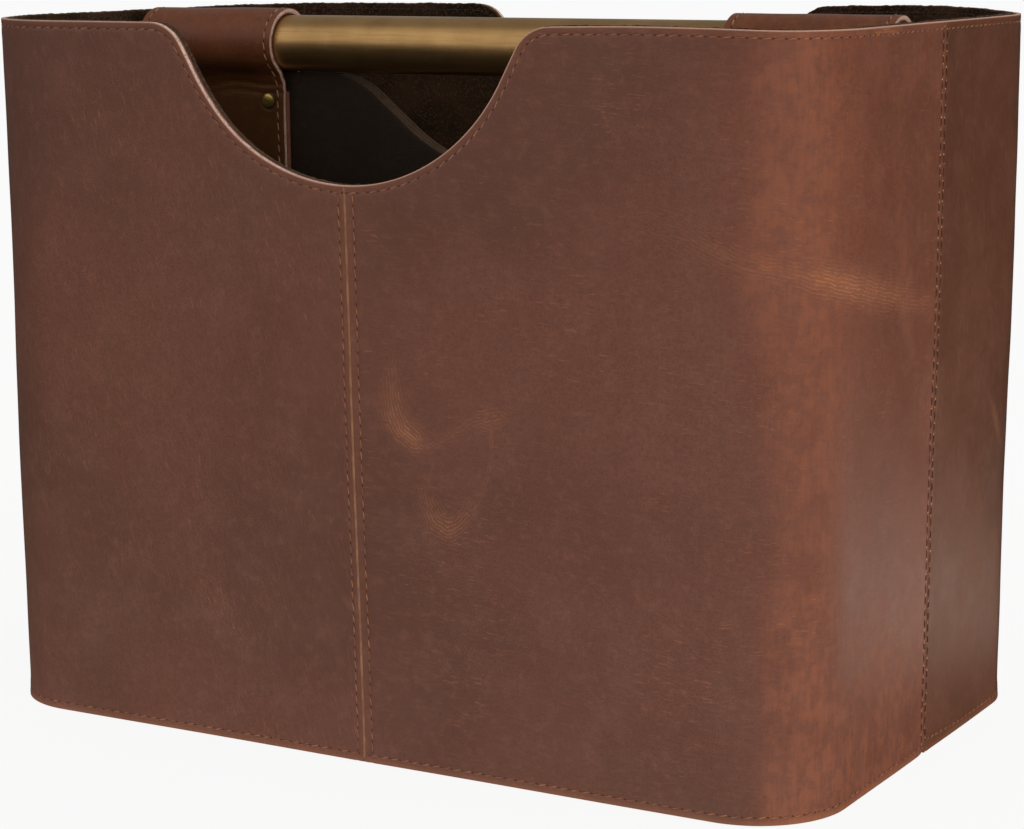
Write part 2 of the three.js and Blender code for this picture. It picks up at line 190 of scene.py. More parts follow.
def sheet(
    name: str,
    points: Array,
    uv: Array | None = None,
    values: dict[str, Array] | None = None,
    turned: bool = False,
) -> Piece:
    """Lays a grid over a field of points.

    Args:
        name: The name of the piece.
        points: Rows of columns of places in millimetres.
        uv: The same rows and columns with the place on the flat leather, in millimetres.
        values: Named numbers for each place, which the finishes read.
        turned: Whether the front of the grid has to be turned over.

    Returns:
        The grid, as an open sheet.
    """
    rows, columns = points.shape[:2]
    deselect()
    bpy.ops.mesh.primitive_grid_add(x_subdivisions=columns - 1, y_subdivisions=rows - 1, size=1)
    piece = bpy.context.object
    piece.name = piece.data.name = name
    mesh = piece.data
    mesh.vertices.foreach_set("co", (points.reshape(-1, 3) * MM).astype(np.float32).ravel())
    if uv is not None:
        corners = np.empty(len(mesh.loops), dtype=np.int32)
        mesh.loops.foreach_get("vertex_index", corners)
        flat = (uv.reshape(-1, 2) * MM).astype(np.float32)
        mesh.uv_layers[0].data.foreach_set("uv", flat[corners].ravel())
    for key, value in (values or {}).items():
        spread = np.broadcast_to(value, (rows, columns)).astype(np.float32)
        mesh.attributes.new(key, "FLOAT", "POINT").data.foreach_set("value", spread.ravel())
    mesh.update()
    if turned:
        edit(piece, bpy.ops.mesh.flip_normals)
    return piece


def close(piece: Piece) -> None:
    """Merges the doubles of a turned or folded piece, caps it and faces it outwards."""
    edit(
        piece,
        lambda: bpy.ops.mesh.remove_doubles(threshold=1e-6),
        lambda: bpy.ops.mesh.fill_holes(sides=0),
        lambda: bpy.ops.mesh.select_all(action="SELECT"),
        lambda: bpy.ops.mesh.normals_make_consistent(inside=False),
    )


def turned(name: str, profile: Sequence[tuple[float, float]], sides: int) -> Piece:
    """Turns a profile round the Z axis, as on a lathe.

    Args:
        name: The name of the piece.
        profile: Radius and height of each point in millimetres.
        sides: How many sides the piece has around.

    Returns:
        The closed piece, standing at the origin.
    """
    angles = np.linspace(0.0, 2.0 * math.pi, sides + 1)
    radius, height = np.array(profile).T[..., None]
    points = joined(radius * np.cos(angles), radius * np.sin(angles), height)
    piece = sheet(name, points, joined(angles * radius.max(), height))
    close(piece)
    return piece


def wear(piece: Piece, *finishes: "Finish") -> None:
    """Gives a piece its finishes, the face first and the cut edge second."""
    piece.data.materials.clear()
    for finish in finishes:
        piece.data.materials.append(finish.made)


def thicken(piece: Piece, thickness: float) -> None:
    """Gives a sheet its thickness behind its front, with the second finish on the cut.

    Args:
        piece: The open sheet, with its finishes already on it.
        thickness: The thickness in millimetres.
    """
    take(piece)
    solid = piece.modifiers.new("thickness", "SOLIDIFY")
    solid.thickness = thickness * MM
    solid.offset = -1.0
    solid.material_offset_rim = len(piece.data.materials) - 1
    front = len(piece.data.vertices)
    bpy.ops.object.modifier_apply(modifier=solid.name)
    deep = np.ones(len(piece.data.vertices), dtype=np.float32)
    deep[:front] = 0.0
    piece.data.attributes.new("deep", "FLOAT", "POINT").data.foreach_set("value", deep)


def soften(
    piece: Piece,
    width: float,
    segments: int,
    finish: int,
    chosen: Callable[[Array], Array] = lambda middles: middles[:, 0] < np.inf,
) -> None:
    """Rounds the sharp edges of a piece.

    Args:
        piece: The closed piece.
        width: How far the rounding reaches, in millimetres.
        segments: How many strips of faces it has.
        finish: The finish of the new faces, 0 for the face's and 1 for the cut edge's.
        chosen: Says which edges to round, from their middles in millimetres.
    """
    take(piece)
    mesh = piece.data
    bpy.ops.object.mode_set(mode="EDIT")
    bpy.ops.mesh.select_mode(type="EDGE")
    bpy.ops.mesh.select_all(action="DESELECT")
    bpy.ops.mesh.edges_select_sharp(sharpness=math.radians(62))
    bpy.ops.object.mode_set(mode="OBJECT")
    picked = np.empty(len(mesh.edges), dtype=bool)
    mesh.edges.foreach_get("select", picked)
    ends = np.empty((len(mesh.edges), 2), dtype=np.int32)
    mesh.edges.foreach_get("vertices", ends.ravel())
    places = np.empty((len(mesh.vertices), 3), dtype=np.float32)
    mesh.vertices.foreach_get("co", places.ravel())
    picked &= chosen(places[ends].mean(axis=1) / MM)
    held = np.zeros(len(mesh.vertices), dtype=bool)
    held[ends[picked].ravel()] = True
    mesh.vertices.foreach_set("select", held)
    mesh.edges.foreach_set("select", picked)
    mesh.polygons.foreach_set("select", np.zeros(len(mesh.polygons), dtype=bool))
    bpy.ops.object.mode_set(mode="EDIT")
    bpy.ops.mesh.bevel(
        offset=width * MM, segments=segments, affect="EDGES", material=finish, clamp_overlap=True
    )
    bpy.ops.object.mode_set(mode="OBJECT")


def polish(piece: Piece, angle: float = 40.0) -> None:
    """Shades a piece smooth, apart from edges sharper than the angle in degrees."""
    take(piece)
    bpy.ops.object.shade_smooth_by_angle(angle=math.radians(angle))


def make_up(
    piece: Piece,
    finishes: Sequence["Finish"],
    thickness: float,
    rounding: tuple = (),
    angle: float = 40.0,
) -> None:
    """Makes a sheet a finished piece of leather, suede or board.

    Args:
        piece: The open sheet.
        finishes: The finish of its face, and of its cut edge if that differs.
        thickness: The thickness in millimetres.
        rounding: What soften needs, if the edges are rounded.
        angle: The angle up to which the piece is shaded smooth, in degrees.
    """
    wear(piece, *finishes)
    thicken(piece, thickness)
    if rounding:
        soften(piece, *rounding)
    polish(piece, angle)


def set_turned(
    name: str, profile: Sequence[tuple[float, float]], sides: int, finish: "Finish", matrix: Matrix
) -> Piece:
    """Turns a profile, gives it its finish and sets it where a matrix says."""
    piece = turned(name, profile, sides)
    wear(piece, finish)
    piece.data.transform(matrix)
    piece.data.update()
    return piece


def tilted(place: Sequence[float], angle: float, axis: str) -> Matrix:
    """A turn round an axis and then a move to a place in millimetres."""
    return Matrix.Translation(Vector(place) * MM) @ Matrix.Rotation(angle, 4, axis)


def dress(piece: Piece, slot: str, *nodes: str, body: str = BASKET) -> Piece:
    """Hands a finished piece over to its body and hides the nodes it stands for.

    Args:
        piece: The finished piece.
        slot: The record's material slot; not used.
        *nodes: The nodes that it replaces.
        body: The body that it rides on.

    Returns:
        The piece.
    """
    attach(piece, body)
    if nodes:
        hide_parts(*nodes)
    log.info("%s: %d faces", piece.name, len(piece.data.polygons))
    return piece


def basis(x: Array, y: Array, z: Array, place: Array) -> Matrix:
    """A frame from three directions and a place in millimetres."""
    rows = np.stack([x, y, z, np.asarray(place) * MM], axis=1)
    return Matrix([*rows.tolist(), (0.0, 0.0, 0.0, 1.0)])


# Finishes


def linear(hex_colour: str) -> tuple[float, float, float, float]:
    """Turns an sRGB hex colour into the linear values that a shader takes."""
    parts = [int(hex_colour[i : i + 2], 16) / 255.0 for i in (1, 3, 5)]
    low_end, slope, offset, power = 0.04045, 12.92, 0.055, 2.4
    curved = (v / slope if v <= low_end else ((v + offset) / (1 + offset)) ** power for v in parts)
    return (*curved, 1.0)


def per(size: float) -> float:
    """The scale of a pattern whose features are this many millimetres apart."""
    return 1.0 / (size * MM)


class Kind(Enum):
    """Kinds of node: type, inputs in order, output in use and settings."""

    TIMES = ("Math", (0, 1), 0, {"operation": "MULTIPLY"})
    PLUS = ("Math", (0, 1), 0, {"operation": "ADD"})
    LARGER = ("Math", (0, 1), 0, {"operation": "MAXIMUM"})
    SINE = ("Math", (0,), 0, {"operation": "SINE"})
    RAMP = ("MapRange", ("Value", 1, 2, 3, 4), 0, {"interpolation_type": "SMOOTHSTEP"})
    RISE = ("MapRange", ("Value", 1, 2, 4), 0, {})
    SPIN = ("Mapping", ("Vector", "Rotation"), 0, {})
    SCALE = ("Mapping", ("Vector", "Scale"), 0, {})
    DISTANCE = ("VectorMath", (0, 1), "Value", {"operation": "DISTANCE"})
    FACING = ("VectorMath", (0, 1), "Value", {"operation": "DOT_PRODUCT"})


@dataclass(frozen=True)
class Wire:
    """An output of a node, which can be carried on to new nodes."""

    mixer: "Mixer"
    socket: bpy.types.NodeSocket

    def to(self, kind: Kind, *inputs: object) -> "Wire":
        """Carries the output on to a node of a kind, as the first of its inputs."""
        made_as, keys, gives, settings = kind.value
        return self.mixer.add(made_as, dict(zip(keys, (self, *inputs))), gives, **settings)

    def __add__(self, other: object) -> "Wire":
        """The sum with another value."""
        return self.to(Kind.PLUS, other)

    def __mul__(self, other: object) -> "Wire":
        """The product with another value."""
        return self.to(Kind.TIMES, other)


class Mixer:
    """Fills the node tree of a material or of the world."""

    def __init__(self, owner: bpy.types.Material | bpy.types.World) -> None:
        """Empties the owner's tree."""
        owner.use_nodes = True
        self.owner = owner
        self.tree = owner.node_tree
        self.tree.nodes.clear()

    def add(
        self, kind: str, inputs: dict[str | int, object], gives: str | int = 0, **settings: object
    ) -> Wire | None:
        """Adds a node with its settings, and links or sets its inputs.

        Args:
            kind: The node's type, without its ShaderNode prefix.
            inputs: For each input its value, a hex colour, or the output that feeds it.
            gives: Which output is wanted.
            **settings: The node's own settings.

        Returns:
            The wanted output, or nothing for a node that ends the tree.
        """
        node = self.tree.nodes.new("ShaderNode" + kind)
        for key, value in settings.items():
            setattr(node, key, value)
        for key, value in inputs.items():
            if isinstance(value, Wire):
                self.tree.links.new(value.socket, node.inputs[key])
            else:
                node.inputs[key].default_value = linear(value) if isinstance(value, str) else value
        return Wire(self, node.outputs[gives]) if node.outputs else None

    @cached_property
    def place(self) -> Wire:
        """The object's own coordinates."""
        return self.add("TexCoord", {}, "Object")

    @cached_property
    def flat(self) -> Wire:
        """The place on the flat leather."""
        return self.add("UVMap", {})

    def speckle(
        self,
        size: float,
        seed: float,
        detail: float = 2.0,
        at: Wire | None = None,
        stretch: tuple[float, float, float] | None = None,
        turn: float = 0.0,
        twist: float = 0.0,
    ) -> Wire:
        """Cloudy noise with features of a size in millimetres.

        Args:
            size: The distance between features.
            seed: Picks one of the endless patterns.
            detail: How many finer layers it has.
            at: The coordinates to use, or the object's own.
            stretch: How much larger the features are along each axis.
            turn: How far the stretched axes are turned in the flat, in degrees.
            twist: How much the pattern is distorted.

        Returns:
            The noise, from 0 to 1 about 0.5.
        """
        vector = at or self.place
        if stretch is not None:
            spun = vector.to(Kind.SPIN, (0.0, 0.0, math.radians(turn)))
            vector = spun.to(Kind.SCALE, tuple(1.0 / s for s in stretch))
        inputs = {"Vector": vector, "W": seed, "Scale": per(size), "Detail": detail, "Distortion": twist}
        return self.add("TexNoise", inputs, "Fac", noise_dimensions="4D")

    def paint(self, base: str, *layers: tuple) -> Wire:
        """Lays colours over a base.

        Args:
            base: The colour below them.
            *layers: For each its amount, its colour and, where it isn't a plain mix, its mode.

        Returns:
            The painted colour.
        """
        for amount, colour, *mode in layers:
            inputs = {0: amount, 6: base, 7: colour}
            base = self.add("Mix", inputs, 2, data_type="RGBA", blend_type=(*mode, "MIX")[0])
        return base

    def finish(self, height: Wire, **surface: object) -> bpy.types.Material:
        """Ends the tree in one surface shader.

        Args:
            height: The relief in millimetres.
            **surface: The shader's inputs, with _ for each space in their names.

        Returns:
            The finished material.
        """
        inputs = {key.replace("_", " "): value for key, value in surface.items()}
        inputs["Normal"] = self.add("Bump", {"Height": height, "Distance": MM, "Strength": 1.0})
        self.add("OutputMaterial", {"Surface": self.add("BsdfPrincipled", inputs)})
        return self.owner


@dataclass(frozen=True)
class OiledLeather:
    """Drum-dyed leather with an oiled face, which pales where it is bent or rubbed, and which also carries
    painted highlights and painted shade on corners and straps.
    """

    name: str
    deep: str
    body: str
    pale: str
    olive: str
    rubbed: str
    pulled_and_lit: str
    cut: str = "#b98d78"
    cloud: float = 130.0
    mottle: float = 17.0
    grain: float = 0.95
    grain_height: float = 0.018
    wrinkle: float = 3.2
    wrinkle_height: float = 0.035
    mark_pitch: float = 1.45
    mark_height: float = 0.07
    roughness: float = 0.45
    gloss: float = 0.42

    def build(self, m: Mixer) -> bpy.types.Material:
        """Builds the leather, with its clouds, grain, hair lines, marks, worn edges, and its painted
        highlights and painted shade.
        """
        clouds = m.speckle(self.cloud, 1.0)
        hue = m.speckle(self.cloud * 0.6, 2.0)
        mottle = m.speckle(self.mottle, 3.0, 3.0)
        cloudlets = m.speckle(5.0, 12.0, 3.0)
        fine = m.speckle(1.5, 4.0, 3.0)
        fibres = m.speckle(1.1, 13.0, 2.0, m.flat, (7.0, 1.0, 1.0), 4.0, 0.5)
        bend, mark, course, edge, raw = (
            m.add("Attribute", {}, "Fac", attribute_name=name)
            for name in ("bend", "mark", "across", "edge", "raw")
        )
        # The corner's pale band is partly the oiled face stretched round the bend and partly a painted
        # highlight; the darker, olive strip in front of it is painted shade, and so is the darker strap leaf
        upright = m.speckle(1.6, 14.0, 3.0, m.place, (1.0, 1.0, 8.0))
        pulled_and_lit = bend * mottle.to(Kind.RAMP, 0.25, 0.70, 0.55, 1.0)
        pulled_and_lit = pulled_and_lit * cloudlets.to(Kind.RAMP, 0.38, 0.62, 1.10, 0.52)
        pulled_and_lit = pulled_and_lit * upright.to(Kind.RAMP, 0.35, 0.66, 1.05, 0.70)
        painted_shade = bend * -1.0 * mottle.to(Kind.RAMP, 0.3, 0.6, 0.4, 1.0)
        # Sparse short scratches and hairs, which run with the hide
        scratch = m.speckle(0.62, 5.0, 1.0, m.flat, (9.0, 1.0, 1.0), 3.0, 0.3).to(Kind.RAMP, 0.63, 0.72)
        hairs = m.speckle(0.55, 6.0, 1.0, m.flat, (1.0, 7.0, 1.0), 9.0, 0.3).to(Kind.RAMP, 0.66, 0.75)
        scored = (scratch + hairs * 0.6) * m.speckle(28.0, 7.0).to(Kind.RAMP, 0.44, 0.64, 0.15, 1.0)
        # Growth marks: bundles of fine wrinkles whose crests are rubbed to tan
        drift = m.speckle(9.0, 8.0)
        stray = m.speckle(2.4, 9.0)
        across = course + drift * 3.4 + stray * 1.1
        wave = (across * (2.0 * math.pi / self.mark_pitch)).to(Kind.SINE)
        ridges = mark * (wave.to(Kind.RAMP, 0.0, 1.0) * stray.to(Kind.RAMP, 0.34, 0.60))
        worn = (mark * mark * 0.45 + ridges * 0.66) * drift.to(Kind.RAMP, 0.22, 0.58, 0.6, 1.0)
        # Pores sit in the creases of a fine pebble grain
        cells = {"Vector": m.place, "Scale": per(self.grain), "Randomness": 1.0}
        pebble = m.add("TexVoronoi", cells, "Distance", feature="DISTANCE_TO_EDGE").to(Kind.RAMP, 0.0, 0.22)
        tight = m.speckle(1.0, 10.0, 1.0)
        specks = tight.to(Kind.RAMP, 0.58, 0.70) * cloudlets.to(Kind.RAMP, 0.40, 0.62, 0.15, 1.0)
        colour = m.paint(
            self.deep,
            (clouds.to(Kind.RAMP, 0.36, 0.64), self.body),
            (hue.to(Kind.RAMP, 0.50, 0.75, 0.0, 0.30), self.olive),
            (mottle.to(Kind.RAMP, 0.45, 0.75, 0.0, 0.25), self.pale),
            (cloudlets.to(Kind.RAMP, 0.48, 0.72, 0.0, 0.35), self.pale),
            (fine.to(Kind.RAMP, 0.40, 0.66, 0.0, 0.50), self.deep),
            (fibres.to(Kind.RAMP, 0.50, 0.70, 0.0, 0.20), self.pale),
            # Painted highlight, partly stretched paleness, then painted shade in olive
            (pulled_and_lit.to(Kind.RAMP, 0.0, 1.0), self.pulled_and_lit),
            (painted_shade.to(Kind.RAMP, 0.0, 2.6), self.olive),
            # Handling leaves the edges a little warmer, and the knife a pale line at the rim
            (edge * 0.10, self.rubbed),
            (raw.to(Kind.RAMP, 0.45, 1.0), self.cut),
            (scored * 0.28, self.rubbed),
            (worn, self.rubbed),
            (tight.to(Kind.RAMP, 0.30, 0.44, 1.0, 0.0) * 0.07, self.deep, "MULTIPLY"),
            (specks * 0.06, self.rubbed),
        )
        wrinkles = m.speckle(self.wrinkle, 11.0, 3.0, m.flat, (2.2, 1.0, 1.0), 8.0, 0.8)
        height = pebble * self.grain_height + wrinkles * self.wrinkle_height + tight * 0.008
        height = height + scored * 0.012 + ridges * self.mark_height
        rough = mottle.to(Kind.RAMP, 0.30, 0.70, self.roughness - 0.05, self.roughness + 0.06) + mark * 0.06
        return m.finish(height, Base_Color=colour, Roughness=rough, IOR=1.5, Specular_IOR_Level=self.gloss)


@dataclass(frozen=True)
class CutEdge:
    """Raw cut edge of leather: pale fibres with a little of the dye at the back face, and, where skin is set,
    a band of painted shade beside the front face.
    """

    name: str
    fibre: str
    shade: str
    core: float
    skin: float = -0.2

    def build(self, m: Mixer) -> bpy.types.Material:
        """Builds the cut edge: pale from the skin's share to the core's, darker beyond the core, and painted
        shade below the skin's share, beside the face.
        """
        patches = m.speckle(6.0, 21.0, 3.0)
        fibres = m.speckle(0.7, 22.0, 3.0)
        deep = m.add("Attribute", {}, "Fac", attribute_name="deep")
        wander = deep + patches.to(Kind.RAMP, 0.3, 0.7, -0.06, 0.06)
        # Painted shade: a dark band beside the face, where the rounded edge turns from the light
        shaded_by_face = wander.to(Kind.RAMP, self.skin - 0.08, self.skin + 0.04, 1.0, 0.0)
        dyed_and_shaded = wander.to(Kind.RAMP, self.core - 0.08, self.core + 0.10).to(Kind.LARGER, shaded_by_face)
        patchy = patches.to(Kind.RAMP, 0.35, 0.75, 0.0, 0.35)
        shades = (patchy, fibres.to(Kind.RAMP, 0.46, 0.66, 0.0, 0.60), dyed_and_shaded)
        colour = m.paint(self.fibre, *((amount, self.shade) for amount in shades))
        return m.finish(fibres * 0.12, Base_Color=colour, Roughness=0.9, IOR=1.45, Specular_IOR_Level=0.12)


@dataclass(frozen=True)
class Suede:
    """Split leather with a short nap, which scatters light at a grazing view."""

    name: str
    deep: str
    nap: str
    sheen: float
    tint: str

    def build(self, m: Mixer) -> bpy.types.Material:
        """Builds the suede, with its brushed patches and speckled nap."""
        brushed = m.speckle(34.0, 31.0, 3.0, twist=0.6)
        nap = m.speckle(0.9, 32.0, 3.0)
        tufts = m.speckle(3.4, 33.0, 3.0)
        speckles = (brushed.to(Kind.RAMP, 0.35, 0.70, 0.0, 0.5), nap.to(Kind.RAMP, 0.50, 0.64, 0.0, 0.85))
        colour = m.paint(self.deep, *((amount, self.nap) for amount in speckles))
        return m.finish(
            nap * 0.16 + tufts * 0.14, Base_Color=colour, Roughness=0.95, IOR=1.4, Specular_IOR_Level=0.15,
            Sheen_Weight=self.sheen, Sheen_Roughness=0.6, Sheen_Tint=self.tint,
        )


@dataclass(frozen=True)
class WaxedThread:
    """Twisted linen thread, drawn through wax."""

    name: str
    deep: str
    pale: str
    twist: float = 0.55

    def build(self, m: Mixer) -> bpy.types.Material:
        """Builds the thread, with the twist of its plies along the stitch."""
        coils = {"Vector": m.flat, "Scale": per(self.twist) * math.pi / 5.0, "Distortion": 0.6}
        plies = m.add("TexWave", coils, "Fac", bands_direction="DIAGONAL")
        worn = m.speckle(3.0, 41.0).to(Kind.RAMP, 0.35, 0.70)
        colour = m.paint(self.deep, (worn, self.pale), (plies * 0.35, self.deep))
        return m.finish(plies * -0.06, Base_Color=colour, Roughness=0.38, IOR=1.5)


@dataclass(frozen=True)
class AntiqueBrass:
    """Brass that was brushed and then darkened, worn bright where it is touched."""

    name: str
    metal: str
    patina: str
    roughness: float
    brush: tuple[float, float, float]

    def build(self, m: Mixer) -> bpy.types.Material:
        """Builds the brass, with its brush lines and its thin dull clouds of patina."""
        lines = m.speckle(0.5, 51.0, 2.0, m.place, self.brush)
        clouds = m.speckle(14.0, 52.0, 3.0).to(Kind.RAMP, 0.35, 0.75, 0.0, 0.45)
        spots = m.speckle(1.6, 53.0).to(Kind.RAMP, 0.60, 0.74, 0.0, 0.30)
        dull = (clouds, lines.to(Kind.RAMP, 0.50, 0.70, 0.0, 0.25), spots)
        colour = m.paint(self.metal, *((amount, self.patina) for amount in dull))
        rough = lines.to(Kind.RAMP, 0.30, 0.70, self.roughness - 0.05, self.roughness + 0.06)
        return m.finish(lines * 0.010, Base_Color=colour, Metallic=0.9, Roughness=rough)


@dataclass(frozen=True)
class Plain:
    """A matt material that hardly shows, with a light unevenness of its own."""

    name: str
    deep: str
    pale: str
    grain: float
    roughness: float

    def build(self, m: Mixer) -> bpy.types.Material:
        """Builds the material, with its speckled colour and relief."""
        grain = m.speckle(self.grain, 61.0, 3.0)
        colour = m.paint(self.deep, (grain.to(Kind.RAMP, 0.35, 0.65), self.pale))
        return m.finish(grain * 0.05, Base_Color=colour, Roughness=self.roughness)


class Finish(Enum):
    """The finishes of the basket, each made once."""

    # Pull-up leather: oil and wax in a dyed hide, so bends turn paler and warmer; the corner's pale band also
    # carries a painted highlight
    WALL = OiledLeather(
        "oiled_pull_up_leather", "#5b3426", "#683a2a", "#764634", "#64422b", "#9f623b", "#79432b"
    )
    # A darker hide of the same tannage, which the back right panel was cut from
    WALL_DARK = OiledLeather(
        "dark_pull_up_leather", "#502e1e", "#5d3522", "#6c412d", "#583823", "#92592f", "#6b3b25"
    )
    # The same hide in a thinner cut for the straps, glossier from handling
    STRAP = OiledLeather(
        "oiled_strap_leather", "#5e321b", "#723f27", "#854e31", "#4c2c13", "#9c643a", "#7e4526",
        roughness=0.46, gloss=0.28,
    )
    # Smooth dyed leather of the divider, nearly black in the shade of the tub
    DIVIDER = OiledLeather(
        "smooth_dyed_leather", "#291f18", "#33271e", "#403127", "#30271b", "#553d2b", "#3f2d21",
        roughness=0.62, grain_height=0.012, gloss=0.2,
    )
    BASE = Plain("vegetable_tanned_leather", "#4a3024", "#5c3e2f", 1.4, 0.7)
    # Edges cut and left raw: pinkish core beside the face, dyed through from the flesh side
    WALL_EDGE = CutEdge("raw_leather_edge", "#e6c3b2", "#6e4a3a", 0.60)
    # The strap's edge has a band of painted shade beside its face
    STRAP_EDGE = CutEdge("raw_strap_edge", "#d8b4a0", "#7a4e3a", 0.72, 0.16)
    PAD_EDGE = CutEdge("raw_pad_edge", "#94614e", "#6b4335", 0.80)
    DIVIDER_EDGE = CutEdge("raw_divider_edge", "#5c4636", "#3b2c22", 2.0)
    # The wall's seam bead, rubbed smooth and tan
    BEAD = Plain("burnished_leather", "#754b30", "#8a5c3e", 5.0, 0.5)
    BEAD_DARK = Plain("burnished_dark_leather", "#5a3222", "#6c402c", 5.0, 0.5)
    # Chrome-tanned split, brushed to a short nap
    LINING = Suede("brushed_suede", "#1e140d", "#513a28", 0.14, "#7a6450")
    LINING_EDGE = Suede("cut_suede_edge", "#33241a", "#5e4636", 0.2, "#8a7460")
    # Linen thread keeps a dull gleam from its wax; its needle hole is a dark disc of painted shade
    THREAD = WaxedThread("waxed_linen_thread", "#75462f", "#9c6543")
    THREAD_DARK = WaxedThread("dark_waxed_thread", "#3d1c0e", "#5a2c18")
    # Pale thread for the straps, also used for the pale knots on the end seams, which are painted glints
    PALE_THREAD_AND_GLINT = WaxedThread("pale_thread_and_painted_glint", "#95644a", "#cb9c7a")
    THREAD_INNER = WaxedThread("brown_waxed_thread", "#20150e", "#33241a")
    HOLE = Plain("needle_hole_shade", "#43200f", "#522817", 0.6, 0.9)
    # Brass brushed along the tube, which mirrors the room in soft long bands
    TUBE = AntiqueBrass("brushed_antique_brass", "#bd9560", "#8e6d42", 0.37, (60.0, 1.0, 1.0))
    RIVET = AntiqueBrass("aged_brass", "#bfa35c", "#7c6a36", 0.36, (1.0, 1.0, 1.0))
    # Pressed fibres, pale brown and matt
    BOARD = Plain("pressed_fibreboard", "#7a664b", "#917a5a", 1.2, 0.9)

    @property
    def made(self) -> bpy.types.Material:
        """The material, which is built when it is first needed."""
        found = bpy.data.materials.get(self.value.name)
        return found or self.value.build(Mixer(bpy.data.materials.new(self.value.name)))


# Shapes that several sub-assemblies share


@dataclass(frozen=True)
class TubForm:
    """The plan of the tub over its outer leather, which changes evenly with the height."""

    height: float = 300.0
    length: tuple[float, float] = (392.0, 398.0)
    width: tuple[float, float] = (241.0, 265.0)
    corner: tuple[float, float] = (38.0, 57.0)

    def between(self, sizes: tuple[float, float], z: Array) -> Array:
        """A size at a height, from its values at the bottom and the top."""
        return sizes[0] + (sizes[1] - sizes[0]) * z / self.height

    def half_length(self, z: Array) -> Array:
        """Half the length at a height."""
        return self.between(self.length, z) / 2.0

    def straight(self, z: Array) -> Array:
        """The flat half of the front at a height, up to the corner."""
        return self.half_length(z) - self.between(self.corner, z)

    def quarter(self, z: Array) -> Array:
        """The way round from the middle of the front to the middle of the end."""
        radius = self.between(self.corner, z)
        return self.straight(z) + radius * QUARTER_TURN + self.between(self.width, z) / 2.0 - radius

    @cached_property
    def rim(self) -> float:
        """The way round one quarter at the rim, where places are marked out."""
        return self.quarter(self.height)

    def follow(self, flat: Array, z: Array) -> Array:
        """The way round at a height for a place that was marked out at the rim."""
        return flat + (self.quarter(z) - self.rim) * smooth(flat / self.rim)

    def turn(self, run: Array, z: Array) -> Array:
        """How far the wall has turned at a way round, from 0 to a right angle."""
        return np.clip((run - self.straight(z)) / self.between(self.corner, z), 0.0, QUARTER_TURN)

    def at(self, run: Array, z: Array, depth: float, flips: Flips) -> Array:
        """Places on or behind the outer surface of one quarter.

        Args:
            run: The way round from the middle of the front.
            z: The height.
            depth: How far behind the outer surface.
            flips: Signs of X and Y, (1, 1) for the front right quarter.

        Returns:
            Places in millimetres.
        """
        radius = self.between(self.corner, z)
        turn = self.turn(run, z)
        after = np.clip(run - self.straight(z) - radius * QUARTER_TURN, 0.0, None)
        x = np.minimum(run, self.straight(z)) + (radius - depth) * np.sin(turn)
        y = -self.between(self.width, z) / 2.0 + radius - (radius - depth) * np.cos(turn) + after
        return joined(x * flips[0], y * flips[1], z)

    def outward(self, run: Array, z: Array, flips: Flips) -> Array:
        """The outward direction of the wall at a way round."""
        turn = self.turn(run, z)
        return joined(np.sin(turn) * flips[0], -np.cos(turn) * flips[1], 0.0)


@dataclass(frozen=True)
class CutOut:
    """A cut-out in a top edge: a round bottom, straight flanks and round shoulders."""

    rim: float
    half: float
    depth: float
    bottom: float
    shoulder: float

    @property
    def slope(self) -> float:
        """The steepness of the flanks."""
        rise = (self.rim - self.shoulder) - (self.rim - self.depth + self.bottom)
        reach = math.hypot(self.half, rise)
        return math.asin((self.bottom + self.shoulder) / reach) + math.atan2(rise, self.half)

    @property
    def lengths(self) -> tuple[float, float, float]:
        """The lengths of the bottom arc, the flank and the shoulder arc."""
        across = self.half - (self.bottom + self.shoulder) * math.sin(self.slope)
        return self.bottom * self.slope, across / math.cos(self.slope), self.shoulder * self.slope

    def edge_length(self, reach: float) -> float:
        """The length of the top edge from the middle out to a place on the rim."""
        return sum(self.lengths) + reach - self.half

    def at(self, s: Array, off: Array | float = 0.0) -> Line:
        """Places along or below the top edge.

        Args:
            s: The distance along the edge from its middle.
            off: How far they lie in the material.

        Returns:
            The way along and the height of each place.
        """
        arc, flank, fillet = self.lengths
        slope = self.slope
        straight = np.clip(s - arc, 0.0, flank)
        rest = np.clip(s - arc - flank, 0.0, fillet) / self.shoulder
        level = np.clip(s - arc - flank - fillet, 0.0, None)
        on_fillet = s > arc + flank
        angle = np.where(on_fillet, slope - rest, np.clip(s, 0.0, arc) / self.bottom)
        x = np.where(
            on_fillet,
            self.half - self.shoulder * np.sin(angle) + level,
            self.bottom * np.sin(angle) + straight * math.cos(slope),
        )
        z = np.where(
            on_fillet,
            self.rim - self.shoulder + self.shoulder * np.cos(angle),
            self.rim - self.depth + self.bottom - self.bottom * np.cos(angle) + straight * math.sin(slope),
        )
        return x + off * np.sin(angle), z - off * np.cos(angle)

    def height(self, x: Array) -> Array:
        """The height of the top edge at a way along."""
        path, level = self.at(np.linspace(0.0, self.edge_length(self.half + self.shoulder), 800))
        return np.interp(np.abs(x), path, level)

    def grown(self, proud: float) -> "CutOut":
        """The same cut-out for an edge that stands proud of this one."""
        moved = {"rim": self.rim + proud, "bottom": self.bottom - proud, "shoulder": self.shoulder + proud}
        return replace(self, **moved)


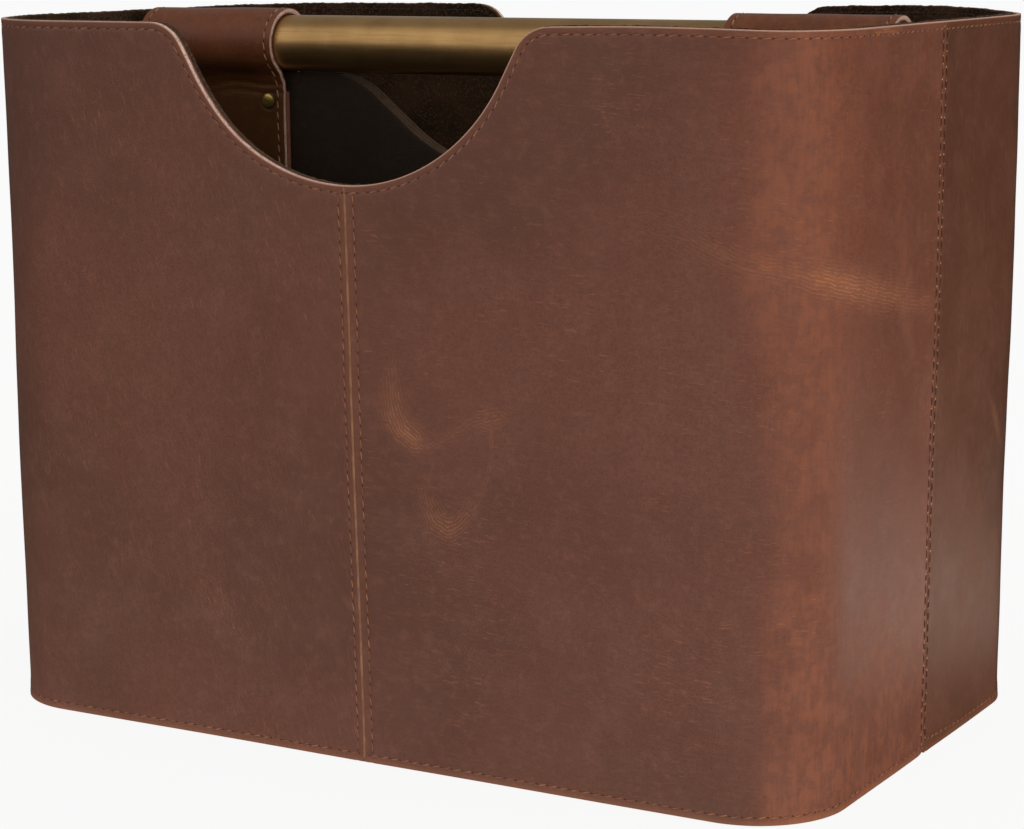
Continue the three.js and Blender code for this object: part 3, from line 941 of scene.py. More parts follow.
@dataclass(frozen=True)
class Mark:
    """A growth mark or rub: the way round, height, width and strength at each of its points."""

    points: tuple[tuple[float, float, float, float], ...]

    def lay(self, run: Array, z: Array) -> Line:
        """Works out the mark on a field of places.

        Args:
            run: The way round of each place.
            z: The height of each place.

        Returns:
            The strength of the mark, and the distance to its line with its side as sign.
        """
        best, across = np.zeros(run.shape), np.zeros(run.shape)
        for (x0, z0, w0, s0), (x1, z1, w1, s1) in zip(self.points, self.points[1:]):
            dx, dz = x1 - x0, z1 - z0
            share = np.clip(((run - x0) * dx + (z - z0) * dz) / (dx * dx + dz * dz), 0.0, 1.0)
            off_x, off_z = run - x0 - share * dx, z - z0 - share * dz
            away = np.hypot(off_x, off_z)
            power = (s0 + (s1 - s0) * share) * bump(away, w0 + (w1 - w0) * share)
            across = np.where(power > best, away * np.sign(dx * off_z - dz * off_x), across)
            best = np.maximum(best, power)
        return best, across


TUB = TubForm()
WALL_CUT = CutOut(rim=300.0, half=94.0, depth=62.5, bottom=83.5, shoulder=17.0)
# Length and height of the walls' slow waves, and place, width and height of two dents
SWELLING = ((190.0, 0.34), (95.0, 0.16), (41.0, 0.05))
DENTS = (((-186.0, -108.0, 240.0), 85.0, -0.9), ((186.0, 108.0, 225.0), 95.0, 1.7))
QUARTERS = {"front_right": (1, 1), "front_left": (-1, 1), "back_right": (1, -1), "back_left": (-1, -1)}
# For each seam whether it is in an end wall, and a quarter beside it
SEAMS = {"front": (False, (1, 1)), "back": (False, (1, -1)), "right": (True, (1, 1)), "left": (True, (-1, 1))}
# How strongly each quarter's corner is stretched and gets its painted highlight and painted shade
PULL_AND_LIGHT = {(1, 1): 1.0, (-1, 1): 0.25, (1, -1): 0.6, (-1, -1): 0.6}
MARKS: dict[Flips, tuple[Mark, ...]] = {
    (1, 1): (
        Mark(((131, 232, 10, 0.14), (152, 224, 8, 0.25), (170, 216, 6, 0.38), (189, 212, 5, 0.5),
            (206, 208, 6, 0.85), (245, 199, 7, 0.7), (298, 189, 6, 0.4))),
        Mark(((19, 172, 5, 0.16), (19, 156, 6.5, 0.5), (20.5, 147, 7, 0.66), (24, 141, 6.5, 0.85),
            (29, 138, 5.5, 0.8), (34, 137.5, 3.5, 0.4))),
        Mark(((34, 135, 2, 0.35), (44, 140, 2, 0.28), (55, 147, 3, 0.3), (62, 149, 5, 0.5),
            (70, 150, 4, 0.42))),
        Mark(((32, 121, 4, 0.2), (34, 112, 5, 0.42), (38, 105.5, 6, 0.56), (44, 103, 6, 0.6),
            (49, 105.5, 5, 0.5), (53, 110, 4, 0.36), (57, 116, 3, 0.16))),
        Mark(((217, 263, 4, 0.1), (229, 258, 4, 0.3), (240, 253, 3, 0.12))),
        Mark(((226, 232, 4, 0.1), (238, 229, 4, 0.22), (250, 222, 4, 0.1))),
        Mark(((32, 75, 3, 0.08), (50, 57, 3, 0.2), (66, 40, 4, 0.1))),
        Mark(((65, 144, 1.2, 0.42), (64, 132, 1, 0.36), (61, 121, 1, 0.4), (56, 113, 1.2, 0.3))),
        Mark(((236, 298.5, 2.0, 0.5), (250, 298.3, 2.4, 0.75), (262, 298, 2.0, 0.4))),
        Mark(((118, 60, 9, 0.04), (150, 52, 10, 0.14), (182, 58, 9, 0.05))),
    ),
    (-1, 1): (
        Mark(((60, 44, 9, 0.1), (77, 64, 9, 0.22), (94, 82, 7, 0.08))),
        Mark(((21, 125, 6, 0.12), (30, 132, 6, 0.2), (40, 138, 5, 0.1))),
        Mark(((120, 190, 8, 0.04), (128, 160, 8, 0.12), (150, 140, 8, 0.05))),
    ),
    (1, -1): (
        Mark(((243, 141, 2.5, 0.3), (235, 131, 3, 0.62), (226, 118, 2.5, 0.35))),
        Mark(((150, 210, 7, 0.1), (110, 180, 8, 0.35), (60, 172, 7, 0.2))),
        Mark(((262, 60, 5, 0.05), (250, 95, 5, 0.2), (255, 120, 4, 0.06))),
    ),
    (-1, -1): (
        Mark(((40, 90, 6, 0.12), (70, 70, 7, 0.4), (120, 66, 6, 0.18))),
        Mark(((180, 220, 6, 0.08), (210, 200, 7, 0.3), (250, 190, 6, 0.12))),
    ),
}


def sway(points: Array) -> Array:
    """The soft unevenness of the tub's walls, which leather and lining share."""
    dents = (height * bump(np.linalg.norm(points - place, axis=-1), width) for place, width, height in DENTS)
    return ripple(points, SWELLING, seed=7) + sum(dents)


def settled(points: Array) -> Array:
    """Lets the rim sink a little at the right end and its middle lean, as soft leather does."""
    x, z = points[..., 0], points[..., 2]
    sunk = 0.8 * smooth((x - 155.0) / 35.0) - 0.9 * bump(x - 130.0, 42.0)
    lean = bump(x, 120.0) * smooth(z / 250.0) + 2.8 * bump(x + 90.0, 42.0) * smooth((z - 238.0) / 36.0)
    return points + joined(lean, 0.0, -sunk * smooth((z - 120.0) / 170.0))


def on_tub(flat: Array, z: Array, flips: Flips, relief: Array = 0.0, depth: float = 0.0) -> Line:
    """Places that follow the uneven wall of the tub.

    Args:
        flat: The way round, marked out at the rim.
        z: The height.
        flips: Signs of X and Y.
        relief: How far the places stand out from the plain wall.
        depth: How far behind the outer surface they lie.

    Returns:
        The places in millimetres and the wall's outward directions.
    """
    run = TUB.follow(flat, z)
    outward = TUB.outward(run, z, flips)
    out = relief + sway(TUB.at(run, z, 0.0, flips))
    return settled(TUB.at(run, z, depth, flips) + outward * out[..., None]), outward


class Sewing:
    """Rows of saddle stitches: a thread bead between each two needle holes."""

    def __init__(self, pitch: float = 4.9, thread: float = 0.36, hole: float = 0.62) -> None:
        """Models one bead, one hole and one pale knot, a painted glint, which the rows repeat.

        Args:
            pitch: The distance between needle holes.
            thread: The radius of the thread.
            hole: The radius of a needle hole.
        """
        self.pitch = pitch
        half = pitch / 2.0 - hole
        slim = [(0.0, -half), (0.62, -half * 0.82), (1.0, -half * 0.40)]
        spindle = slim + [(r, -h) for r, h in reversed(slim)]
        self.bead = self.model("thread_form", [(r * thread, h) for r, h in spindle], 6)
        lens = [(0.0, -0.2), (hole * 0.8, -0.1), (hole, 0.0), (hole * 0.7, 0.07), (0.0, 0.05)]
        self.hole = self.model("needle_hole_form", lens, 8)
        glint_knot = [(0.0, -0.42), (0.28, -0.25), (0.38, 0.0), (0.28, 0.25), (0.0, 0.42)]
        self.glint_knot = self.model("thread_glint_form", glint_knot, 6)

    def model(self, name: str, profile: list[tuple[float, float]], sides: int) -> Piece:
        """Turns a small form, which stays out of the scene."""
        form = turned(name, profile, sides)
        polish(form, 75.0)
        bpy.context.scene.collection.objects.unlink(form)
        return form

    def copy(self, form: Piece, matrix: Matrix) -> Piece:
        """Sets a copy of a form, with a mesh of its own, where a matrix says."""
        one = form.copy()
        one.data = form.data.copy()
        one.data.transform(matrix)
        bpy.context.scene.collection.objects.link(one)
        return one

    def sew(
        self,
        name: str,
        rows: Sequence[Line],
        slant: float = 9.0,
        sunk: float = 0.06,
        thread: Finish = Finish.THREAD,
        stout: float = 1.0,
    ) -> None:
        """Sews rows of stitches and their needle holes as one piece of the basket.

        Args:
            name: The name of the piece.
            rows: For each row its line and the outward directions, in millimetres.
            slant: How far each stitch leans out of the row, in degrees.
            sunk: How deep the middle of the thread lies, in millimetres.
            thread: The finish of the thread.
            stout: How much thicker the thread is than usual; stout thread fills its holes, and pale knots of
                painted glint sit there instead.
        """
        wear(self.bead, thread)
        wear(self.hole, Finish.HOLE)
        wear(self.glint_knot, Finish.PALE_THREAD_AND_GLINT)
        lean = math.radians(slant)
        copies = []
        for line, outward in rows:
            places, normals = spaced(line, outward, self.pitch)
            for k, (place, normal) in enumerate(zip(places, normals)):
                ahead = places[min(k + 1, len(places) - 1)] - places[max(k - 1, 0)]
                along = unit(ahead - normal * (ahead @ normal))
                side = np.cross(normal, along)
                if stout <= 1.0:
                    copies.append(self.copy(self.hole, basis(along, side, normal, place)))
                else:
                    # Pale knots, painted glints of the thread where it goes into the leather, sit a little
                    # beside the row, no two alike
                    aside = place + side * (0.45 * math.sin(2.7 * k)) + along * (1.1 * math.sin(4.1 * k))
                    copies.append(self.copy(self.glint_knot, basis(side, normal, along, aside)))
                if k + 1 == len(places):
                    continue
                step = places[k + 1] - place
                facing = unit(normal + normals[k + 1])
                way = unit(step)
                slanted = way * math.cos(lean) + np.cross(facing, way) * math.sin(lean)
                # On a bend the middle of a stitch is lifted on to the leather
                rise = float((normals[k + 1] - normal) @ step) / 8.0
                spot = (place + places[k + 1]) / 2.0 + facing * (rise - sunk)
                thick = np.cross(slanted, facing) * stout
                copies.append(self.copy(self.bead, basis(thick, facing * stout, slanted, spot)))
        deselect()
        for one in copies:
            one.select_set(True)
        piece = copies[0]
        bpy.context.view_layer.objects.active = piece
        bpy.ops.object.join()
        piece.name = piece.data.name = name
        dress(piece, "waxed_thread")


# Sub-assemblies


@dataclass
class OuterWall:
    """The tub's outer leather: four quarter panels, seam beads, stay strips and stitches."""

    sewing: Sewing
    leather: float = 3.0
    seam_gap: float = 0.08
    rim_row: float = 2.9
    foot_row: float = 3.1
    front_rows: tuple[float, float] = (3.1, 3.8)
    side_row: float = 1.85
    band: float = 9.0
    foot: float = 14.0
    round_off: float = 9.0
    raised: float = 1.9
    groove: float = 0.24
    groove_width: float = 0.62
    flare: float = 0.5
    flare_height: float = 9.0
    hem: float = 6.5
    bead_radius: float = 0.62
    bead_height: float = 0.46
    bead_sunk: float = 0.14
    strip_depth: float = 3.1
    strip: float = 0.9
    strip_half: float = 9.0

    def lift(self, flat: Array, flips: Flips) -> Array:
        """How far the whole hem of a back panel is raised towards its end seam."""
        return (flips[1] < 0) * self.raised * (1.0 - smooth((TUB.rim - flat) / 46.0))

    def foot_height(self, z: Array, flat: Array, flips: Flips) -> Array:
        """Where a height near the foot comes to lie.

        Back panels are raised towards the end seam, and the hem of the front panels is
        rounded off there below the stitches.
        """
        inside = np.clip(1.0 - (TUB.rim - flat) / self.round_off, 0.0, 1.0)
        cut = (flips[1] > 0) * (self.foot_row - 0.5) * (1.0 - np.sqrt(1.0 - inside**2))
        above = z + self.lift(flat, flips) * (1.0 - smooth(z / self.foot))
        return np.where(z < self.foot_row, cut + z * (1.0 - cut / self.foot_row), above)

    def seam_rows(self, flips: Flips) -> tuple[float, float]:
        """The distances of the stitch rows from the front seam and from the end seam."""
        return self.front_rows[flips[0] * flips[1] > 0], self.side_row

    def flared(self, z: Array) -> Array:
        """How far the foot stands out at a height."""
        return self.flare * (1.0 - smooth(z / self.flare_height))

    def relief(self, flat: Array, z: Array, from_rim: Array, flips: Flips) -> Array:
        """How far the worked leather stands out: grooves, puffed hems and the flared foot."""
        first, last = self.seam_rows(flips)
        from_end = TUB.rim - flat
        foot = z - self.lift(flat, flips)
        below = smooth(from_rim - self.rim_row + 1.0)
        rows = (
            (from_rim - self.rim_row, 1.0), (foot - self.foot_row, 1.0),
            (flat - first, below), (from_end - last, below),
        )
        grooves = np.max([bump(away, self.groove_width) * depth for away, depth in rows], axis=0)
        puffs = (
            (0.07, from_rim - 1.8, 1.2), (0.07, from_rim - 6.2, 1.8), (0.07, flat - first / 2.0, 0.9),
            (0.08, flat - first - 2.4, 1.8), (0.08, from_end - last - 2.2, 1.8), (0.06, foot - 6.0, 1.8),
        )
        puffed = sum(height * bump(away, width) for height, away, width in puffs)
        return puffed - self.groove * grooves + self.flared(foot)

    def laid_out(self, flips: Flips) -> tuple[Array, Array, Array]:
        """Lays out the rows and columns of a quarter panel.

        Args:
            flips: Signs of X and Y.

        Returns:
            The flat place, the height and the distance from the rim of each point.
        """
        reach = WALL_CUT.edge_length(TUB.rim)
        start, near = self.seam_gap, self.seam_gap + 0.9
        first, last = self.seam_rows(flips)
        far = reach - last
        columns = steps(
            (start, near, 0.9), (near, first + 1.4, 0.42), (first + 1.4, first + 6.0, 1.1),
            (first + 6.0, far - 6.0, 2.4), (far - 6.0, far - 1.4, 1.1), (far - 1.4, reach - near, 0.42),
            (reach - near, reach - start, 0.9),
        )
        above, below = self.rim_row + 1.5, self.foot_row + 1.5
        offsets = steps((0.0, 0.9, 0.9), (0.9, above, 0.42), (above, self.band, 1.4))[::-1, None]
        feet = steps((0.0, 0.9, 0.9), (0.9, below, 0.45), (below, self.foot, 1.6))[:, None]
        shares = np.linspace(0.0, 1.0, 84)[1:-1, None]
        low_x, low_z = WALL_CUT.at(columns, self.band)
        edge_x, edge_z = WALL_CUT.at(columns, offsets)
        hem = self.foot_height(feet, low_x, flips)
        lower = np.concatenate([hem, self.foot + shares * (low_z - self.foot)])
        from_rim = [self.band + low_z - lower, np.broadcast_to(offsets, edge_x.shape)]
        flat = np.concatenate([np.broadcast_to(low_x, lower.shape), edge_x])
        return flat, np.concatenate([lower, edge_z]), np.concatenate(from_rim)

    def surface(self, flat: Array, z: Array, from_rim: Array, flips: Flips) -> Line:
        """Places on the worked outer surface, with their outward directions."""
        return on_tub(flat, z, flips, self.relief(flat, z, from_rim, flips))

    def values(self, flat: Array, z: Array, from_rim: Array, flips: Flips) -> dict[str, Array]:
        """What the leather's finish reads: marks, worn edges and the stretched corner with its painted
        highlight and painted shade.
        """
        mark, across = np.zeros(flat.shape), np.zeros(flat.shape)
        for one in MARKS[flips]:
            strength, distance = one.lay(flat, z)
            across = np.where(strength > mark, distance, across)
            mark = np.maximum(mark, strength)
        near = np.min([from_rim, z, flat, TUB.rim - flat], axis=0)
        # The pale strip up the corner, partly stretched leather and partly a painted highlight, runs unevenly
        # and is paler at its foot; the strip in front of it is painted shade
        turn = np.degrees(TUB.turn(TUB.follow(flat, z), z))
        turn = turn + 3.4 * np.sin(z / 31.0 + 0.6) + 1.8 * np.sin(z / 11.0 + 1.0)
        beyond = (0.48 - 0.32 * smooth((90.0 - z) / 60.0)) * smooth((turn - 62.0) / 22.0)
        pulled_and_lit = smooth((turn - 19.0) / 25.0) * (1.0 - beyond) * (1.0 - 0.35 * bump(z - 120.0, 45.0))
        painted_shade = 0.6 * smooth((turn - 2.0) / 14.0) * (1.0 - smooth((turn - 18.0) / 12.0))
        # The hem below the stitches is rubbed by all that it stands on
        edge = np.maximum(bump(near, 2.6), 3.0 * bump(z - 0.4, 1.7))
        raw = 1.0 - smooth(from_rim / 1.4)
        bend = (pulled_and_lit - painted_shade) * PULL_AND_LIGHT[flips]
        return {"mark": mark, "across": across, "edge": edge, "bend": bend, "raw": raw}

    def panel(self, name: str, flips: Flips) -> None:
        """Builds a quarter panel of the wall.

        Args:
            name: The quarter's name.
            flips: Signs of X and Y.
        """
        laid = self.laid_out(flips)
        # Each quarter is cut from another part of the hide, and most of them upright
        hide = 0.7 * (2 * (flips[0] > 0) + (flips[1] > 0)) / MM
        lie = math.radians({(1, 1): 0.0, (-1, 1): 78.0}.get(flips, 90.0))
        along = laid[0] * math.cos(lie) + laid[1] * math.sin(lie) + hide
        aside = laid[1] * math.cos(lie) - laid[0] * math.sin(lie)
        points, values = self.surface(*laid, flips)[0], self.values(*laid, flips)
        mirrored = flips[0] * flips[1] < 0
        piece = sheet(f"wall_leather_{name}", points, joined(along, aside), values, mirrored)
        leather = Finish.WALL_DARK if flips == (1, -1) else Finish.WALL
        free = (0.5, 3, 1, lambda at: np.min(np.abs(at[:, :2]), axis=1) > 0.5)
        make_up(piece, (leather, Finish.WALL_EDGE), self.leather, free)
        self.stain_foot(piece)
        dress(piece, "outer_leather", f"outer_panel_{name}")

    def stain_foot(self, piece: Piece) -> None:
        """Dyes the cut edge at the foot and in the seams like the face of the leather."""
        polygons = piece.data.polygons
        centres = np.empty((len(polygons), 3), dtype=np.float32)
        polygons.foreach_get("center", centres.ravel())
        finish = np.empty(len(polygons), dtype=np.int32)
        polygons.foreach_get("material_index", finish)
        in_seam = np.min(np.abs(centres[:, :2]), axis=1) < (self.seam_gap + 0.02) * MM
        finish[(centres[:, 2] < self.hem * MM) | in_seam] = 0
        polygons.foreach_set("material_index", finish)
        piece.data.update()

    def rim_line(self, flips: Flips) -> Line:
        """The line of the rim's stitch row over one quarter."""
        gap = 1.2
        s = np.linspace(gap, WALL_CUT.edge_length(TUB.rim) - gap, 500)
        return self.surface(*WALL_CUT.at(s, self.rim_row), np.full(s.shape, self.rim_row), flips)

    def foot_line(self, flips: Flips) -> Line:
        """The line of the foot's stitch row over one quarter."""
        gap = 2.4
        flat = np.linspace(gap, TUB.rim - gap, 400)
        z = self.foot_height(self.foot_row, flat, flips)
        return self.surface(flat, z, np.full(flat.shape, TUB.height), flips)

    def seam_line(self, from_seam: float, at_end: bool, flips: Flips) -> Line:
        """The line of a stitch row beside a seam."""
        flat = TUB.rim - from_seam if at_end else from_seam
        top = TUB.height if at_end else float(WALL_CUT.height(from_seam))
        low = self.foot_row + self.lift(flat, flips) + 1.0
        z = np.linspace(low, top - self.rim_row, 300)
        return self.surface(np.full(z.shape, flat), z, top - z, flips)

    def bead(self, name: str, at_end: bool, flips: Flips) -> None:
        """Builds the burnished bead in a seam, rounded off at its ends.

        Args:
            name: Which seam.
            at_end: Whether the seam is in an end wall.
            flips: Signs of X and Y.
        """
        top = (TUB.height if at_end else WALL_CUT.rim - WALL_CUT.depth) - self.rim_row
        ends = np.array([0.0, 0.25, 0.6, 0.85, 1.0]) * self.bead_radius
        z = np.concatenate([1.2 + ends, np.linspace(3.0, top - 2.0, 90), top - self.bead_radius + ends])
        fall = np.minimum(z - z[0], z[-1] - z) / self.bead_radius
        share = np.sqrt(1.0 - (1.0 - np.clip(fall, 0.0, 1.0)) ** 2)
        flat = np.full(z.shape, TUB.rim if at_end else 0.0)
        skin, outward = on_tub(flat, z, flips, self.flared(z) - self.bead_sunk)
        side = np.cross(outward, (0.0, 0.0, 1.0))
        angles = np.linspace(0.0, 2.0 * math.pi, 13)
        radius = self.bead_radius * (0.62 if at_end else 1.0)
        wide = np.outer(share, np.cos(angles) * radius)[..., None]
        high = np.outer(share, np.sin(angles) * self.bead_height)[..., None]
        rings = skin[:, None] + side[:, None] * wide + outward[:, None] * high
        piece = sheet(f"seam_bead_{name}", rings, joined(angles, z[:, None]))
        wear(piece, Finish.BEAD_DARK if at_end else Finish.BEAD)
        close(piece)
        polish(piece, 60.0)
        dress(piece, "outer_leather")

    def stay_strip(self, name: str, at_end: bool, flips: Flips) -> None:
        """Builds the strip that backs a seam."""
        across = np.linspace(-self.strip_half, self.strip_half, 13)
        top = TUB.height if at_end else WALL_CUT.rim - WALL_CUT.depth
        z = np.linspace(0.2, top - FIT, 40)[:, None]
        run = TUB.quarter(z) - np.abs(across) if at_end else np.abs(across)
        points = TUB.at(run, z, self.strip_depth, flips)
        points[..., int(at_end)] = across
        piece = sheet(f"stay_strip_{name}", settled(points), joined(across, z))
        edit(piece, lambda: bpy.ops.mesh.normals_make_consistent(inside=False))
        make_up(piece, (Finish.BASE,), self.strip)
        dress(piece, "base_leather", f"seam_strip_{name}")

    def build(self) -> None:
        """Builds the panels, the beads, the strips and the stitching."""
        for name, flips in QUARTERS.items():
            self.panel(name, flips)
        for name, (at_end, flips) in SEAMS.items():
            self.bead(name, at_end, flips)
            self.stay_strip(name, at_end, flips)
        sew, quarters = self.sewing.sew, QUARTERS.values()
        sew("stitches_rim", [self.rim_line(f) for f in quarters])
        sew("stitches_foot", [self.foot_line(f) for f in quarters], slant=16.0)
        sew("stitches_front_and_back", [self.seam_line(self.seam_rows(f)[0], False, f) for f in quarters])
        ends = [self.seam_line(self.side_row, True, f) for f in quarters]
        sew("stitches_ends", ends, slant=3.0, thread=Finish.THREAD_DARK, stout=1.5)


@dataclass
class Lining:
    """The suede lining: a front and a back half, proud of the leather at the rim."""

    sewing: Sewing
    depth: float = 3.04
    suede: float = 2.4
    proud: float = 0.25
    low: float = 7.9
    band: float = 9.0
    row: float = 2.9

    def half(self, name: str, flip: int) -> None:
        """Builds one half of the lining.

        Args:
            name: Which half.
            flip: The sign of Y, 1 for the front.
        """
        cut = WALL_CUT.grown(self.proud)
        across = both_ways(steps((0.0, cut.edge_length(TUB.rim) - 0.15, 0.95)))
        offsets = steps((0.0, 0.8, 0.8), (0.8, 3.6, 0.9), (3.6, self.band, 1.8))[::-1, None]
        low_x, low_z = cut.at(np.abs(across), self.band)
        edge_x, edge_z = cut.at(np.abs(across), offsets)
        lower = self.low + np.linspace(0.0, 1.0, 40)[:-1, None] * (low_z - self.low)
        flat = np.concatenate([np.broadcast_to(low_x, lower.shape), edge_x])
        z = np.concatenate([lower, edge_z + self.ragged(across + 400.0 * flip) * np.exp(-offsets / 2.4)])
        flips = (side_of(across), flip)
        deep = self.depth + self.suede
        lumps = ripple(TUB.at(TUB.follow(flat, z), z, deep, flips), ((17.0, 0.5), (6.0, 0.25)), 11)
        points, _ = on_tub(flat, z, flips, 0.10 * lumps, deep)
        piece = sheet(f"suede_lining_{name}", points, joined(flat * flips[0], z), turned=flip > 0)
        upper = (0.55, 3, 1, lambda at: at[:, 2] > 60.0)
        make_up(piece, (Finish.LINING, Finish.LINING_EDGE), self.suede, upper, 50.0)
        dress(piece, "suede_lining", f"lining_{name}")

    def ragged(self, along: Array) -> Array:
        """The uneven line of the cut suede, in millimetres."""
        return ripple(joined(along, 0.0, 0.0), ((31.0, 0.10), (11.0, 0.09), (4.6, 0.12), (2.6, 0.12)), 5)

    def inner_rim(self, flips: Flips) -> Line:
        """The rim's stitch row where it comes out on the suede."""
        s = np.linspace(1.2, WALL_CUT.edge_length(TUB.rim) - 26.0, 400)
        places, outward = on_tub(*WALL_CUT.at(s, self.row), flips, depth=self.depth + self.suede)
        return places, -outward

    def build(self) -> None:
        """Builds both halves and the stitches that show on them."""
        self.half("front", 1)
        self.half("back", -1)
        rows = [self.inner_rim(flips) for flips in QUARTERS.values()]
        self.sewing.sew("stitches_lining", rows, thread=Finish.THREAD_INNER)


@dataclass
class Bottom:
    """The bottom: a leather tray with a turned-up edge, a board and a suede lining."""

    tray: float = 2.5
    board: float = 2.5
    suede: float = 2.0
    depth: float = 3.3
    lip: float = 2.4

    def outline(self, z: float, depth: float) -> Array:
        """The outline of the bottom at a height and depth behind the outer surface."""
        start = TUB.straight(z)
        end = start + TUB.between(TUB.corner, z) * QUARTER_TURN
        parts = ((0.0, start, 7), (start, end, 17), (end, TUB.quarter(z), 4))
        runs = np.unique(np.concatenate([np.linspace(*part) for part in parts]))
        loops = []
        for flips in ((1, 1), (1, -1), (-1, -1), (-1, 1)):
            loops.append(TUB.at(runs, z, depth, flips)[:: flips[0] * flips[1]][:-1])
        return np.concatenate(loops)

    def build(self) -> None:
        """Builds the tray, the board and the suede, each lofted through heights and depths."""
        inner = self.depth + self.lip
        beside = inner + FIT
        foot = self.tray + FIT
        rest = foot + self.board + FIT
        top = rest + self.suede
        tray = (
            (0.6, self.depth), (top - 0.5, self.depth), (top, self.depth + 0.5), (top, inner - 0.5),
            (top - 0.5, inner), (self.tray, inner),
        )
        board = ((foot, beside), (foot + self.board, beside))
        suede = ((rest, beside), (top - 0.6, beside), (top, beside + 0.6))
        layers = (
            ("bottom_tray", tray, Finish.BASE, "base_leather", "base_tray"),
            ("bottom_board", board, Finish.BOARD, "fibreboard", "base_board"),
            ("bottom_suede", suede, Finish.LINING, "suede_lining", "base_lining"),
        )
        for name, levels, finish, slot, node in layers:
            rings = np.stack([self.outline(z, depth) for z, depth in levels])
            piece = sheet(name, np.concatenate([rings, rings[:, :1]], axis=1))
            close(piece)
            wear(piece, finish)
            if finish is not Finish.BOARD:
                polish(piece, 30.0)
            dress(piece, slot, node)


@dataclass(frozen=True)
class HandleForm:
    """Where the tube lies, and the line that the straps take over it."""

    radius: float = 12.5
    plane: float = -4.15
    level: float = 286.2
    strap: float = 2.6
    waist_radius: float = 13.0
    leaf: float = 95.0
    leaf_off: float = 5.45

    @property
    def loop(self) -> float:
        """The radius of the strap's outer face round the tube."""
        return self.radius + FIT + self.strap

    @property
    def waist(self) -> float:
        """The height at which the leaves come together."""
        reach, off = self.loop + self.waist_radius, self.leaf_off + self.waist_radius
        return self.level - math.sqrt(reach**2 - off**2)

    def side(self) -> Array:
        """Half of the strap's outer line, from the end of a leaf to the top of the loop.

        Returns:
            Distances from the tube's plane, and heights.
        """
        off = self.leaf_off + self.waist_radius
        lean = math.atan2(self.level - self.waist, off)
        low = joined(self.leaf_off, np.linspace(self.waist - self.leaf, self.waist, 60))
        arcs = (
            (off, self.waist, self.waist_radius, math.pi, math.pi - lean, 60),
            (0.0, self.level, self.loop, -lean, QUARTER_TURN, 120),
        )
        line = [low]
        for y, z, radius, start, end, count in arcs:
            angle = start + (end - start) * np.linspace(0.0, 1.0, count)[1:]
            line.append(joined(y + radius * np.cos(angle), z + radius * np.sin(angle)))
        return np.concatenate(line)


